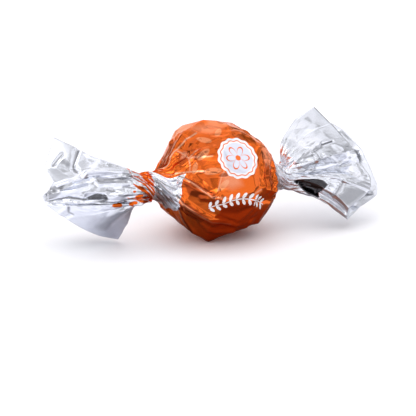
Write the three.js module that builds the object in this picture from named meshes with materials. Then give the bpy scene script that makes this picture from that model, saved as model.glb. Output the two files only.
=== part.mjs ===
// A liqueur praline, twist-wrapped in one sheet of printed foil.
//
// Millimetres, +Z up, +X along the twist from the left tail to the right tail.
// The origin is the middle of the small flat spot that the praline rests on.
//
// The wrapped praline is one closed body. Every point of its skin has two sheet coordinates:
// how far round the twist it lies (0 to 1, from the front, up over the top, and round the back),
// and how far along. The skin runs from the left mouth over the left tail, the left neck, the ball,
// the right neck and the right tail to the right mouth. A tapering hollow goes in at each mouth.

import * as THREE from "three";

// ---- driving dimensions ----------------------------------------------------------------------

const BALL_RADIUS = 14.3;               // under the foil's creases
const BALL_HEIGHT = 13.9;               // of the ball's middle above the surface
const BALL_EDGE = 28;                   // degrees from the ball's pole where the foil leaves it
const CREASE_RISE = 0.15;               // unevenness of the foil between the named creases
const CREASE_CELLS = [12, 9];           // cells of that unevenness round and along the ball

const ROUND_STEPS = 64;                 // facets round the twist
const BALL_STEPS = 28;
const NECK_STEPS = 9;
const TAIL_STEPS = 9;
const HOLLOW_ROUND_STEPS = 32;
const HOLLOW_STEPS = 6;
const MOST_SWAPS = 400;                 // of edges, when the rims' facets are evened out

const BALL_SEED = 3;                    // seeds choose one repeatable unevenness each
const TAIL_RUMPLE = 0.25;               // unevenness of the tails' foil
const TAIL_CELLS = [16, 5];
const NECK_PLEATS = 9;                  // gathers round each neck
const NECK_PLEAT_DEPTH = 0.16;          // share of the neck's radius
const NECK_CURVE = { ballSide: 2.6, tailSide: 1.6 };  // powers by which the neck widens from its waist

const RIM_BOW = 0.12;                   // how far a rim's line bows out between two corners

const HOLLOW_START = 0.34;              // share of a tail's length where its hollow ends inside
const HOLLOW_NECK_RADIUS = 1.3;

// One end of the wrapper. waist is the narrowest point of the neck, and root is where the tail
// starts. shift is how far the neck sits off the ball's axis, and twist how far it is turned, in
// degrees. mouth lists the corners of the tail's rim in order: turn is the corner's place round the
// root, steps the facets on to the next corner, and bend what pushes the foil out between root and
// rim. hollow lists the corners of the mouth's opening in the same way.
const LEFT = {
  side: -1,
  seed: 6,
  waist: { x: 19.3, radius: 3.1 },
  root: { x: 22.0, radius: 3.9 },
  shift: [0, -3.3, 1.8],
  twist: 120,
  mouth: [
    { name: "upper flap, lower corner", turn: 62, steps: 3, at: [-42.8, -2.0, 18.3], bend: [2, -2, 4.5] },
    { name: "upper flap, side", turn: 76, steps: 4, at: [-44.9, 0.9, 22.7], bend: [0, -4, 2] },
    { name: "upper flap, top corner", turn: 92, steps: 7, at: [-41.4, 3.1, 29.5], bend: [0, -4, 0] },
    { name: "back, upper", turn: 125, steps: 5, at: [-38.3, 9.0, 21.2], bend: [2, 3, 2] },
    { name: "back, middle", turn: 165, steps: 5, at: [-38.5, 10.0, 12.9], bend: [2, 4, 0] },
    { name: "back, lower", turn: 215, steps: 8, at: [-30.6, 8.6, 6.4], bend: [1, 3, -1] },
    { name: "lower corner", turn: 262, steps: 3, at: [-24.7, 2.5, 0.5], bend: [0.5, 0, -0.5] },
    { name: "lower rim, first", turn: 272, steps: 3, at: [-30.1, 1.0, 2.6], bend: [0, -1, 0] },
    { name: "lower rim, second", turn: 284, steps: 4, at: [-34.4, 0.3, 5.0], bend: [0, -3, 0] },
    { name: "lower rim, third", turn: 298, steps: 4, at: [-39.3, 0.8, 8.4], bend: [0, -3, 0] },
    { name: "lower rim, fourth", turn: 312, steps: 2, at: [-43.6, 2.2, 12.0], bend: [0, -2, 0] },
    { name: "lower flap, tip", turn: 326, steps: 2, at: [-44.9, 3.1, 14.5], bend: [0, 0, 0] },
    { name: "lower pleat, inside", turn: 333, steps: 3, at: [-42.3, 2.6, 16.0], bend: [0, 1, 1] },
    { name: "middle fold, lower edge", turn: 341, steps: 3, at: [-43.7, 0.6, 13.3], bend: [0, -2, -1] },
    { name: "middle fold, side", turn: 362, steps: 4, at: [-44.1, 1.3, 15.8], bend: [0, -2, 0] },
    { name: "upper pleat, inside", turn: 396, steps: 4, at: [-41.6, 1.2, 19.6], bend: [0, 0, 2] },
  ],
  hollow: [
    { turn: 60, at: [-42.0, 3.0, 20.8] },
    { turn: 78, at: [-42.8, 3.1, 23.4] },
    { turn: 95, at: [-40.8, 4.4, 26.6] },
    { turn: 130, at: [-38.8, 7.5, 20.4] },
    { turn: 180, at: [-38.8, 8.3, 13.6] },
    { turn: 225, at: [-32.2, 7.1, 8.2] },
    { turn: 262, at: [-28.6, 3.8, 4.0] },
    { turn: 292, at: [-35.0, 2.2, 7.0] },
    { turn: 320, at: [-42.0, 4.6, 12.8] },
    { turn: 370, at: [-42.0, 4.6, 17.2] },
  ],
  hollowBend: [0, 0.6, 0.6],
};

const RIGHT = {
  side: 1,
  seed: 8,
  waist: { x: 16.9, radius: 3.0 },
  root: { x: 18.3, radius: 3.3 },
  shift: [0, -2.1, -0.6],
  twist: -85,
  mouth: [
    { name: "lower corner", turn: -60, steps: 4, at: [31.6, -10.8, 2.9], bend: [0.5, -0.8, 2.6] },
    { name: "pocket", turn: -42, steps: 4, at: [31.6, -10.6, 4.6], bend: [0.3, 1.8, 4] },
    { name: "lower front", turn: -28, steps: 5, at: [31.8, -11.2, 6.0], bend: [1.5, -1.5, 5] },
    { name: "front rim, lower", turn: -5, steps: 4, at: [38.4, -8.7, 9.0], bend: [0, -1, 3] },
    { name: "front rim, middle", turn: 14, steps: 4, at: [39.4, -7.0, 11.9], bend: [0, -2, 1] },
    { name: "crinkled fold", turn: 28, steps: 4, at: [37.6, -3.6, 15.2], bend: [0, 1, -1.5] },
    { name: "front rim, upper", turn: 45, steps: 4, at: [36.5, -2.8, 18.1], bend: [0, -3, 2] },
    { name: "rim notch", turn: 66, steps: 8, at: [34.6, 0.0, 21.0], bend: [-3, -3, 4] },
    { name: "peak", turn: 132, steps: 4, at: [31.1, 10.6, 25.8], bend: [-9.1, -5, 3.4] },
    { name: "back rim, upper", turn: 158, steps: 4, at: [33.2, 9.0, 22.5], bend: [-4.5, 0, 1] },
    { name: "back rim, notch", turn: 184, steps: 4, at: [36.6, 5.3, 20.9], bend: [-1, 3, -1] },
    { name: "back rim, middle", turn: 212, steps: 5, at: [40.3, 1.1, 16.2], bend: [-2, 4, -3] },
    { name: "back rim, side", turn: 240, steps: 2, at: [42.0, -4.8, 8.9], bend: [-1, 2, -3] },
    { name: "back rim, turn", turn: 252, steps: 3, at: [41.3, -6.6, 6.9], bend: [-1, 2, -3] },
    { name: "back rim, lower", turn: 276, steps: 5, at: [36.8, -6.0, 4.0], bend: [0, 1.2, -0.5] },
  ],
  hollow: [
    { turn: -40, at: [34.4, -8.5, 7.3] },
    { turn: 5, at: [38.4, -6.2, 11.3] },
    { turn: 30, at: [37.0, -3.0, 14.8] },
    { turn: 55, at: [34.9, 0.9, 20.1] },
    { turn: 110, at: [34.6, 3.9, 21.5] },
    { turn: 170, at: [36.8, 2.3, 19.0] },
    { turn: 205, at: [39.0, -1.6, 13.9] },
    { turn: 250, at: [38.2, -6.6, 10.0] },
  ],
  hollowBend: [-1, 1.5, -0.5],
};

// The named creases of the foil over the ball. A crease runs straight from one place to another.
// A place is [degrees up from the front, degrees from the left pole]. rise is how far the foil
// stands off the ball along the crease, and reach how far to each side it slopes down.
const CREASES = [
  { from: [140, 24], to: [85, 33], rise: 0.5, reach: 2.0 },
  { from: [85, 33], to: [89, 56], rise: 0.5, reach: 2.0 },
  { from: [89, 56], to: [91, 68], rise: 0.4, reach: 2.0 },
  { from: [45, 20], to: [37, 38], rise: 0.45, reach: 2.0 },
  { from: [37, 38], to: [30, 67], rise: 0.4, reach: 2.0 },
  { from: [31, 66], to: [3, 69], rise: 0.4, reach: 2.0 },
  { from: [28, 32], to: [13, 49], rise: 0.4, reach: 2.0 },
  { from: [13, 49], to: [2, 68], rise: 0.4, reach: 2.0 },
  { from: [-12, 28], to: [-20, 46], rise: 0.5, reach: 2.0 },
  { from: [-20, 46], to: [-30, 72], rise: 0.5, reach: 2.0 },
  { from: [2, 68], to: [-5, 87], rise: 0.4, reach: 2.0 },
  { from: [-5, 87], to: [-6, 108], rise: 0.4, reach: 2.2 },
  { from: [-6, 108], to: [0, 125], rise: 0.4, reach: 2.0 },
  { from: [0, 125], to: [10, 150], rise: 0.4, reach: 2.0 },
  { from: [-40, 24], to: [-48, 37], rise: 0.5, reach: 2.0 },
  { from: [-48, 37], to: [-63, 50], rise: 0.5, reach: 2.0 },
  { from: [-55, 51], to: [-72, 80], rise: 0.4, reach: 2.0 },
  { from: [72, 121], to: [35, 131], rise: 0.4, reach: 2.0 },
  { from: [150, 28], to: [152, 80], rise: 0.5, reach: 2.2 },
  { from: [186, 28], to: [176, 96], rise: 0.5, reach: 2.2 },
  { from: [218, 28], to: [224, 84], rise: 0.5, reach: 2.2 },
  { from: [128, 104], to: [126, 154], rise: 0.5, reach: 2.2 },
  { from: [160, 88], to: [156, 154], rise: 0.5, reach: 2.2 },
  { from: [196, 98], to: [190, 154], rise: 0.5, reach: 2.2 },
  { from: [228, 92], to: [222, 154], rise: 0.5, reach: 2.2 },
];
const DENTS = [
  { from: [-21, 27], to: [-55, 51], rise: -0.5, reach: 2.0 },
  { from: [94, 103], to: [95, 129], rise: -0.5, reach: 2.0 },
  { from: [95, 129], to: [89, 137], rise: -0.5, reach: 2.0 },
  { from: [166, 60], to: [176, 78], rise: -0.5, reach: 2.0 },
  { from: [204, 96], to: [214, 116], rise: -0.5, reach: 2.0 },
];

// Between the creases the foil lies flat. Each flat facet of the ball is a plane, given by the
// direction that it faces and its distance from the ball's middle: [degrees up from the front,
// degrees from the left pole, distance]. The foil reaches as far as the nearest plane lets it.
const FACETS = [
  [116, 37, 13.9], [106, 64, 14.8], [62, 42, 13.7], [40, 44, 13.85], [66, 68, 14.0], [42, 68, 13.9],
  [42, 102, 13.9], [68, 147, 15.2], [16, 88, 13.9], [20, 59, 13.8], [14, 37, 14.1], [-4, 56, 13.8],
  [-11, 93, 14.1], [-8, 127, 14.3], [-33, 53, 13.9], [-49, 32, 13.9], [-34, 81, 14.1],
  [-35, 110, 14.2], [80, 86, 14.2], [76, 114, 14.4], [22, 131, 14.2], [-90, 90, 13.9],
  [-44, 140, 14.6], [-64, 103, 13.8], [-85, 52, 13.6], [138, 39, 14.2], [122, 62, 15.6],
  [114, 83, 15.2], [107, 102, 14.7], [96, 126, 14.6], [91, 134, 15.0], [49, 158, 15.2],
  [-9, 157, 14.8], [168, 58, 14.2], [162, 95, 14.3], [140, 112, 14.5], [134, 142, 14.4],
  [178, 132, 14.1], [198, 80, 14.0], [196, 40, 13.8], [222, 112, 14.2], [232, 62, 14.1],
  [242, 90, 14.0], [236, 140, 14.2], [190, 156, 14.4], [-110, 122, 14.2], [-122, 70, 14.0],
];
const FACET_VIEW = 0.3;                 // below this cosine a plane is seen edge-on, and doesn't count

// ---- small helpers ---------------------------------------------------------------------------

const FULL_TURN = 360;
const radians = THREE.MathUtils.degToRad;
const TINY = 1e-9;
const NEARBY = 0.004;                   // step in the sheet coordinates over which a slope is read
const smooth = (x, low, high) => THREE.MathUtils.smoothstep(x, low, high);
const vector = (list) => new THREE.Vector3(...list);
const hump = (share) => 4 * share * (1 - share);      // 0 at both ends and 1 in the middle

// A repeatable value between -1 and 1 for each cell corner of a crumpled surface.
function cornerValue(i, j, seed) {
  const wave = Math.sin(i * 127.1 + j * 311.7 + seed * 74.7) * 43758.5453;
  return 2 * (wave - Math.floor(wave)) - 1;
}

// Flat triangles between cell corners, as crumpled foil has. It closes on itself round the twist.
function crumple(round, along, [cellsRound, cellsAlong], seed) {
  const x = (round - Math.floor(round)) * cellsRound;
  const y = along * cellsAlong;
  const i = Math.floor(x);
  const j = Math.floor(y);
  const fx = x - i;
  const fy = y - j;
  const value = (di, dj) => cornerValue((i + di) % cellsRound, j + dj, seed);
  if (fx + fy < 1) {
    return value(0, 0) + (value(1, 0) - value(0, 0)) * fx + (value(0, 1) - value(0, 0)) * fy;
  }
  return value(1, 1) + (value(0, 1) - value(1, 1)) * (1 - fx) + (value(1, 0) - value(1, 1)) * (1 - fy);
}

// A zigzag between 0 and 1 with pleats of uneven width.
function pleats(round, count, seed) {
  const angle = 2 * Math.PI * round;
  const uneven = round * count + 0.3 * Math.sin(2 * angle + seed) + 0.2 * Math.sin(5 * angle + 2 * seed);
  return Math.abs(2 * (uneven - Math.floor(uneven)) - 1);
}

// ---- the ball --------------------------------------------------------------------------------

// A point of the circle round the twist axis. A turn of 0 is at the front, and 90 degrees on top.
function onCircle(x, radius, turn) {
  return new THREE.Vector3(x, -radius * Math.cos(turn), radius * Math.sin(turn));
}

function onSphere(turn, fromPole) {
  return onCircle(-BALL_RADIUS * Math.cos(fromPole), BALL_RADIUS * Math.sin(fromPole), turn);
}

function creaseLine({ from, to, rise, reach }) {
  const ends = [from, to].map(([turn, pole]) => onSphere(radians(turn), radians(pole)));
  return { line: new THREE.Line3(...ends), rise, reach };
}

const creaseLines = CREASES.map(creaseLine);
const dentLines = DENTS.map(creaseLine);
const nearest = new THREE.Vector3();

function strongest(lines, point) {
  let best = 0;
  for (const { line, rise, reach } of lines) {
    line.closestPointToPoint(point, true, nearest);
    const height = rise * Math.max(0, 1 - nearest.distanceTo(point) / reach);
    best = Math.abs(height) > Math.abs(best) ? height : best;
  }
  return best;
}

const facetPlanes = FACETS.map(([turn, pole, distance]) => {
  return { facing: onSphere(radians(turn), radians(pole)).normalize(), distance };
});

// How far from the middle of the ball the flat facets let the foil go, in one direction.
function facetReach(point) {
  const direction = point.clone().normalize();
  const reaches = facetPlanes.map(({ facing, distance }) => {
    return distance / Math.max(facing.dot(direction), FACET_VIEW);
  });
  return Math.min(...reaches);
}

function ballPoint(round, fromPole) {
  const point = onSphere(2 * Math.PI * round, fromPole);
  const stand = strongest(creaseLines, point) + strongest(dentLines, point);
  const uneven = CREASE_RISE * crumple(round, fromPole / Math.PI, CREASE_CELLS, BALL_SEED);
  return point.setLength(facetReach(point) + stand + uneven);
}

// The necks sit off the ball's axis, and the foil leans over to them.
function leaned(point) {
  const end = point.x < 0 ? LEFT : RIGHT;
  const share = smooth(Math.abs(point.x), BALL_RADIUS / 2, end.waist.x);
  point.addScaledVector(vector(end.shift), share);
  point.z = Math.max(point.z + BALL_HEIGHT, 0);
  return point;
}

// ---- necks and tails -------------------------------------------------------------------------

// The rim's corners with their places round the sheet, as shares of a turn. Each is on a facet's edge.
function placed(end) {
  let round = Math.round((ROUND_STEPS * (end.mouth[0].turn - end.twist)) / FULL_TURN) / ROUND_STEPS;
  const corners = end.mouth.map((corner) => {
    const here = { ...corner, round };
    round += corner.steps / ROUND_STEPS;
    return here;
  });
  const first = corners[0];
  corners.push({ ...first, turn: first.turn + FULL_TURN, round: first.round + 1 });
  return corners;
}

const corners = new Map([LEFT, RIGHT].map((end) => [end, placed(end)]));

// The middle of a rim, as the average of its corners.
function rimMiddle(end) {
  const sum = new THREE.Vector3();
  end.mouth.forEach((corner) => sum.add(vector(corner.at)));
  return sum.divideScalar(end.mouth.length);
}

// What the rim's corners give at one place round the sheet: turn at the root, rim point and bend.
function rimAt(end, round) {
  const list = corners.get(end);
  const start = list[0].round;
  const turns = Math.floor(round - start + TINY);
  const wrapped = round - turns;
  const next = list.findIndex((corner) => corner.round > wrapped + TINY);
  const [a, b] = [list[next - 1], list[next]];
  const share = (wrapped - a.round) / (b.round - a.round);
  const at = vector(a.at).lerp(vector(b.at), share);
  const outward = at.clone().sub(rimMiddle(end)).normalize();
  return {
    turn: THREE.MathUtils.lerp(a.turn, b.turn, share) + FULL_TURN * turns,
    at: at.addScaledVector(outward, RIM_BOW * hump(share)),
    bend: vector(a.bend).lerp(vector(b.bend), share),
  };
}

// The neck, from the ball's edge (0) over the waist to the tail's root (1).
function neckPoint(end, round, along) {
  const edgePole = radians(end.side < 0 ? BALL_EDGE : 180 - BALL_EDGE);
  const edge = ballPoint(round, edgePole);
  const edgeRadius = Math.hypot(edge.y, edge.z);
  const x = THREE.MathUtils.lerp(Math.abs(edge.x), end.root.x, along);
  const beyond = x - end.waist.x;
  const onBallSide = beyond < 0;
  const run = onBallSide ? end.waist.x - Math.abs(edge.x) : end.root.x - end.waist.x;
  const rise = (onBallSide ? edgeRadius : end.root.radius) - end.waist.radius;
  const power = onBallSide ? NECK_CURVE.ballSide : NECK_CURVE.tailSide;
  const gathered = smooth(along, 0, 0.5) * NECK_PLEAT_DEPTH * (pleats(round, NECK_PLEATS, end.side) - 0.5);
  const radius = (end.waist.radius + rise * (Math.abs(beyond) / run) ** power) * (1 + gathered);
  const turned = smooth(along, 0.05, 1);
  const turn = radians(THREE.MathUtils.lerp(FULL_TURN * round, rimAt(end, round).turn, turned));
  return leaned(onCircle(end.side * x, radius, turn));
}

function bent(root, bend, rim, along) {
  const middle = root.clone().lerp(rim, 0.5).add(bend);
  return new THREE.QuadraticBezierCurve3(root, middle, rim).getPoint(along);
}

// The tail, from its root (0) to its rim (1).
function smoothTailPoint(end, round, along) {
  const { at, bend } = rimAt(end, round);
  return bent(neckPoint(end, round, 1), bend, at, along);
}

function tailPoint(end, round, along) {
  const point = smoothTailPoint(end, round, along);
  const before = smoothTailPoint(end, round - NEARBY, along);
  const across = smoothTailPoint(end, round + NEARBY, along).sub(before);
  const outward = smoothTailPoint(end, round, along + NEARBY).sub(point).cross(across);
  const fade = smooth(along, 0, 0.3) * (1 - smooth(along, 0.75, 1));
  const height = TAIL_RUMPLE * crumple(round, along, TAIL_CELLS, end.seed) * fade;
  return point.addScaledVector(outward.normalize(), -end.side * height);
}

// The hollow inside a tail, a smaller funnel that opens at the mouth.
function hollowPoint(end, round, along) {
  const list = end.hollow;
  const place = (round - Math.floor(round)) * list.length;
  const a = list[Math.floor(place)];
  const b = list[(Math.floor(place) + 1) % list.length];
  const share = place - Math.floor(place);
  const turnOn = b.turn < a.turn ? FULL_TURN : 0;
  const turn = radians(THREE.MathUtils.lerp(a.turn, b.turn + turnOn, share));
  const root = leaned(onCircle(end.side * end.root.x, HOLLOW_NECK_RADIUS, turn));
  return bent(root, vector(end.hollowBend), vector(a.at).lerp(vector(b.at), share), along);
}

// ---- the closed skin -------------------------------------------------------------------------

const positions = [];
const triangles = [];

// A closed row of points round the twist. It gives back the points' numbers in the mesh.
function ring(steps, pointAt) {
  const numbers = [];
  for (let step = 0; step < steps; step += 1) {
    numbers.push(positions.length / 3);
    positions.push(...pointAt(step / steps).toArray());
  }
  return numbers;
}

function skinBetween(rowA, rowB) {
  rowA.forEach((a, step) => {
    const next = (step + 1) % rowA.length;
    triangles.push(a, rowB[step], rowA[next], rowA[next], rowB[step], rowB[next]);
  });
}

function skinAlong(rows) {
  rows.slice(1).forEach((row, index) => skinBetween(rows[index], row));
}

const pointOf = (number) => new THREE.Vector3().fromArray(positions, 3 * number);

// How far the corner c lies to the left of the line from a to b, seen along the twist.
function leftOf(a, b, c) {
  const [p, q, r] = [a, b, c].map(pointOf);
  return (q.y - p.y) * (r.z - p.z) - (q.z - p.z) * (r.y - p.y);
}

// Two facets that share an edge swap it for the other diagonal where that one is shorter.
function shortenEdges(facets) {
  const owners = new Map();
  facets.forEach((facet, index) => {
    facet.forEach((corner, k) => {
      owners.set(`${corner},${facet[(k + 1) % 3]}`, [index, facet[(k + 2) % 3]]);
    });
  });
  for (const [edge, [index, c]] of owners) {
    const [a, b] = edge.split(",").map(Number);
    const other = owners.get(`${b},${a}`);
    if (!other) continue;
    const [otherIndex, d] = other;
    const shorter = pointOf(c).distanceTo(pointOf(d)) < pointOf(a).distanceTo(pointOf(b)) - TINY;
    if (shorter && leftOf(c, d, b) > 0 && leftOf(d, c, a) > 0) {
      facets[index] = [c, d, b];
      facets[otherIndex] = [d, c, a];
      return true;
    }
  }
  return false;
}

// Facets across a row of points, or between it and a smaller row inside it, seen from the end.
function closeAcross(row, holes, facing) {
  const flatPoint = (n) => new THREE.Vector2(positions[3 * n + 1], positions[3 * n + 2]);
  const flat = (numbers) => numbers.map(flatPoint);
  const all = [row, ...holes].flat();
  const facets = THREE.ShapeUtils.triangulateShape(flat(row), holes.map(flat)).map((facet) => {
    const [a, b, c] = facet.map((k) => all[k]);
    return leftOf(a, b, c) > 0 ? [a, b, c] : [a, c, b];
  });
  for (let swaps = 0; swaps < MOST_SWAPS && shortenEdges(facets); swaps += 1);
  facets.forEach(([a, b, c]) => triangles.push(...(facing > 0 ? [a, b, c] : [a, c, b])));
}

function buildSkin() {
  const outside = [];
  for (let step = TAIL_STEPS; step > 0; step -= 1) {
    outside.push(ring(ROUND_STEPS, (round) => tailPoint(LEFT, round, step / TAIL_STEPS)));
  }
  for (let step = NECK_STEPS; step > 0; step -= 1) {
    outside.push(ring(ROUND_STEPS, (round) => neckPoint(LEFT, round, step / NECK_STEPS)));
  }
  for (let step = 0; step <= BALL_STEPS; step += 1) {
    const fromPole = radians(THREE.MathUtils.lerp(BALL_EDGE, 180 - BALL_EDGE, step / BALL_STEPS));
    outside.push(ring(ROUND_STEPS, (round) => leaned(ballPoint(round, fromPole))));
  }
  for (let step = 1; step <= NECK_STEPS; step += 1) {
    outside.push(ring(ROUND_STEPS, (round) => neckPoint(RIGHT, round, step / NECK_STEPS)));
  }
  for (let step = 1; step <= TAIL_STEPS; step += 1) {
    outside.push(ring(ROUND_STEPS, (round) => tailPoint(RIGHT, round, step / TAIL_STEPS)));
  }
  skinAlong(outside);

  for (const end of [LEFT, RIGHT]) {
    const inside = [];
    for (let step = 0; step <= HOLLOW_STEPS; step += 1) {
      const along = THREE.MathUtils.lerp(HOLLOW_START, 1, step / HOLLOW_STEPS);
      inside.push(ring(HOLLOW_ROUND_STEPS, (round) => hollowPoint(end, round, along)));
    }
    skinAlong(end.side < 0 ? inside : inside.toReversed());
    closeAcross(inside[0], [], end.side);
    const rim = end.side < 0 ? outside[0] : outside[outside.length - 1];
    closeAcross(rim, [inside[HOLLOW_STEPS]], end.side);
  }
}

buildSkin();
const geometry = new THREE.BufferGeometry();
geometry.setAttribute("position", new THREE.Float32BufferAttribute(positions, 3));
geometry.setIndex(triangles);
geometry.computeVertexNormals();

const foil = new THREE.MeshStandardMaterial({ color: 0xd9661f, roughness: 0.28, metalness: 0.8 });
const wrapped = new THREE.Mesh(geometry, foil);
wrapped.name = "foil_wrapper";

const praline = new THREE.Group();
praline.add(wrapped);

export default praline;
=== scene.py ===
# %% [markdown]
# # A liqueur praline in its twisted foil
#
# The praline is a ball of chocolate in one sheet of thin metal foil. The sheet is laid round the ball,
# and both ends are gathered and twisted, so that each end flares out again as a tail. The foil is bare
# and silvery at the tails, and printed in a clear orange lacquer over the ball.
#
# The solid model gives the size and the place. This lesson lays a fine sheet of foil over that solid:
# it starts as a flat grid, as the real wrapper starts as a flat sheet, and every fold is worked into it.

# %% Load the solid as a fixed frame
import math

import bmesh
import bpy
import numpy as np
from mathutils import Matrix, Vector, geometry
from mathutils.bvhtree import BVHTree


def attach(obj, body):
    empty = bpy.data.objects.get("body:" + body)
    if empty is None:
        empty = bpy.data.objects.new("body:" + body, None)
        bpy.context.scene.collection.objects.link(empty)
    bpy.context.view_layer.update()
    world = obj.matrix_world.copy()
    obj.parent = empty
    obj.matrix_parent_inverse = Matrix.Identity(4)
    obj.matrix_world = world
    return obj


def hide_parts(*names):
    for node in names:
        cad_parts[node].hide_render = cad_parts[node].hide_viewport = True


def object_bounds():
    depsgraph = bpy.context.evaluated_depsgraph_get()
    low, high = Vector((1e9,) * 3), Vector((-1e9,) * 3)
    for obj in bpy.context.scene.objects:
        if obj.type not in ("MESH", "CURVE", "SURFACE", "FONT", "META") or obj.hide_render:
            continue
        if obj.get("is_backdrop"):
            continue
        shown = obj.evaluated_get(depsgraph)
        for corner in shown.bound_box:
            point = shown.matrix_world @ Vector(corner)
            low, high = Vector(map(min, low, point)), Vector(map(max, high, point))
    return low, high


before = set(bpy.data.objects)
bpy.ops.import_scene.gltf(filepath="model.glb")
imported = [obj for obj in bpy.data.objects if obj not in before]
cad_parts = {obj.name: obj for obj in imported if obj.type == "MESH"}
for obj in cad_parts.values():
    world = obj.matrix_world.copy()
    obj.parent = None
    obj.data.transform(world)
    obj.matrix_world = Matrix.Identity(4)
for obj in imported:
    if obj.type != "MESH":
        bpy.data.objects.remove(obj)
solid_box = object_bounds()
MM = 0.001
print("solid model, in mm:", [round(c / MM, 1) for c in (*solid_box[0], *solid_box[1])])

# %% [markdown]
# ## The driving sizes
#
# All the sizes below are in millimetres, as on the real wrapper. A place on the foil has two sheet
# coordinates. *Around* is the share of a turn round the twist, from the front (0), up over the top, and
# down the back. *Place* is the distance along the sheet from the middle of the ball, less than zero to
# the left. The sizes that several steps share are given once here. The others stand where they are used.

# %% Sizes of the ball, the necks and the sheet
BALL_RADIUS = 14.3
BALL_HEIGHT = 13.9
BALL_EDGE = 28.0                      # degrees from the ball's pole where the foil leaves it
FULL_TURN = 360.0
TINY = 1e-9                           # keeps a division or a rounding on the safe side

SHEET_ROUND = 2 * math.pi * BALL_RADIUS                     # of the sheet laid flat, round the ball
BALL_REACH = BALL_RADIUS * math.radians(90 - BALL_EDGE)     # along the sheet, from the middle to a neck
NECK_LENGTH = {-1: 10.0, 1: 7.0}
TAIL_LENGTH = {-1: 24.0, 1: 20.0}
print(f"the sheet is {SHEET_ROUND:.0f} mm round and "
      f"{2 * BALL_REACH + sum(NECK_LENGTH.values()) + sum(TAIL_LENGTH.values()):.0f} mm long")

# %% [markdown]
# ## The two ends
#
# A tail is a funnel of foil. Its rim is a closed line with a few corners, and between two corners the
# rim is nearly straight, because the sheet was cut straight. So each tail is given by its rim's corners,
# in order round the twist: where the corner's ray starts at the neck (*turn*, in degrees), how many
# steps of a 64th of a turn it is to the next corner, where the corner is, and how the foil bends out
# between neck and rim. The last number says how crumpled the foil is there.

# %% Corners of both rims: name, turn, steps, corner, bend, crumpling
RIM_STEPS = 64                        # steps of the rim in a whole turn
LEFT = {
    "side": -1, "seed": 6, "waist": (19.3, 3.1), "root": (22.0, 3.9),
    "shift": (0, -3.3, 1.8), "twist": 120,
    "rim": [
        ("upper flap, lower corner", 62, 3, (-42.8, -2.0, 18.3), (2, -2, 4.5), 0.25),
        ("upper flap, side", 76, 4, (-44.9, 0.9, 22.7), (0, -4, 2), 0.2),
        ("upper flap, top corner", 92, 7, (-41.4, 3.1, 29.5), (0, -4, 0), 0.15),
        ("back, upper", 125, 5, (-38.3, 9.0, 21.2), (2, 3, 2), 0.6),
        ("back, middle", 165, 5, (-38.5, 10.0, 12.9), (2, 4, 0), 0.6),
        ("back, lower", 215, 8, (-30.6, 8.6, 6.4), (1, 3, -1), 0.5),
        ("lower corner", 262, 3, (-24.7, 2.5, 0.5), (0.5, 0, -0.5), 0.2),
        ("lower rim, first", 272, 3, (-30.1, 1.0, 2.6), (0, -1, 0), 0.1),
        ("lower rim, second", 284, 4, (-34.4, 0.3, 5.0), (0, -3, 0), 0.1),
        ("lower rim, third", 298, 4, (-39.3, 0.8, 8.4), (0, -3, 0), 0.3),
        ("lower rim, fourth", 312, 2, (-43.6, 2.2, 12.0), (0, -2, 0), 0.6),
        ("lower flap, tip", 326, 2, (-44.9, 3.1, 14.5), (0, 0, 0), 0.6),
        ("lower pleat, inside", 333, 3, (-42.3, 2.6, 16.0), (0, 1, 1), 0.6),
        ("middle fold, lower edge", 341, 3, (-43.7, 0.6, 13.3), (0, -2, -1), 0.7),
        ("middle fold, side", 362, 4, (-44.1, 1.3, 15.8), (0, -2, 0), 0.7),
        ("upper pleat, inside", 396, 4, (-41.6, 1.2, 19.6), (0, 0, 2), 0.5),
    ],
}
RIGHT = {
    "side": 1, "seed": 8, "waist": (16.9, 3.0), "root": (18.3, 3.3),
    "shift": (0, -2.1, -0.6), "twist": -85,
    "rim": [
        ("lower corner", -60, 4, (31.6, -10.8, 2.9), (0.5, -0.8, 2.6), 0.15),
        ("pocket", -42, 4, (31.6, -10.6, 4.6), (0.3, 1.8, 4), 0.12),
        ("lower front", -28, 5, (31.8, -11.2, 6.0), (1.5, -1.5, 5), 0.12),
        ("front rim, lower", -5, 4, (38.4, -8.7, 9.0), (0, -1, 3), 0.15),
        ("front rim, middle", 14, 4, (39.4, -7.0, 11.9), (0, -2, 1), 0.9),
        ("crinkled fold", 28, 4, (37.6, -3.6, 15.2), (0, 1, -1.5), 1.0),
        ("front rim, upper", 45, 4, (36.5, -2.8, 18.1), (0, -3, 2), 0.6),
        ("rim notch", 66, 8, (34.6, 0.0, 21.0), (-3, -3, 4), 0.2),
        ("peak", 132, 4, (31.1, 10.6, 25.8), (-9.1, -5, 3.4), 0.12),
        ("back rim, upper", 158, 4, (33.2, 9.0, 22.5), (-4.5, 0, 1), 0.2),
        ("back rim, notch", 184, 4, (36.6, 5.3, 20.9), (-1, 3, -1), 0.6),
        ("back rim, middle", 212, 5, (40.3, 1.1, 16.2), (-2, 4, -3), 0.5),
        ("back rim, side", 240, 2, (42.0, -4.8, 8.9), (-1, 2, -3), 0.4),
        ("back rim, turn", 252, 3, (41.3, -6.6, 6.9), (-1, 2, -3), 0.4),
        ("back rim, lower", 276, 5, (36.8, -6.0, 4.0), (0, 1.2, -0.5), 0.3),
    ],
}


def rim_table(end):
    """The rim's corners as columns, with each corner's place round the sheet, closed with the first."""
    _, turn, steps, at, bend, crumpled = (list(column) for column in zip(*end["rim"]))
    first = round(RIM_STEPS * (turn[0] - end["twist"]) / FULL_TURN)
    around = (first + np.cumsum([0, *steps])) / RIM_STEPS
    columns = {"turn": turn + [turn[0] + FULL_TURN], "crumpled": crumpled + crumpled[:1]}
    for k, axis in enumerate("xyz"):
        columns["at " + axis] = [p[k] for p in at + at[:1]]
        columns["bend " + axis] = [p[k] for p in bend + bend[:1]]
    return around, columns


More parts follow.
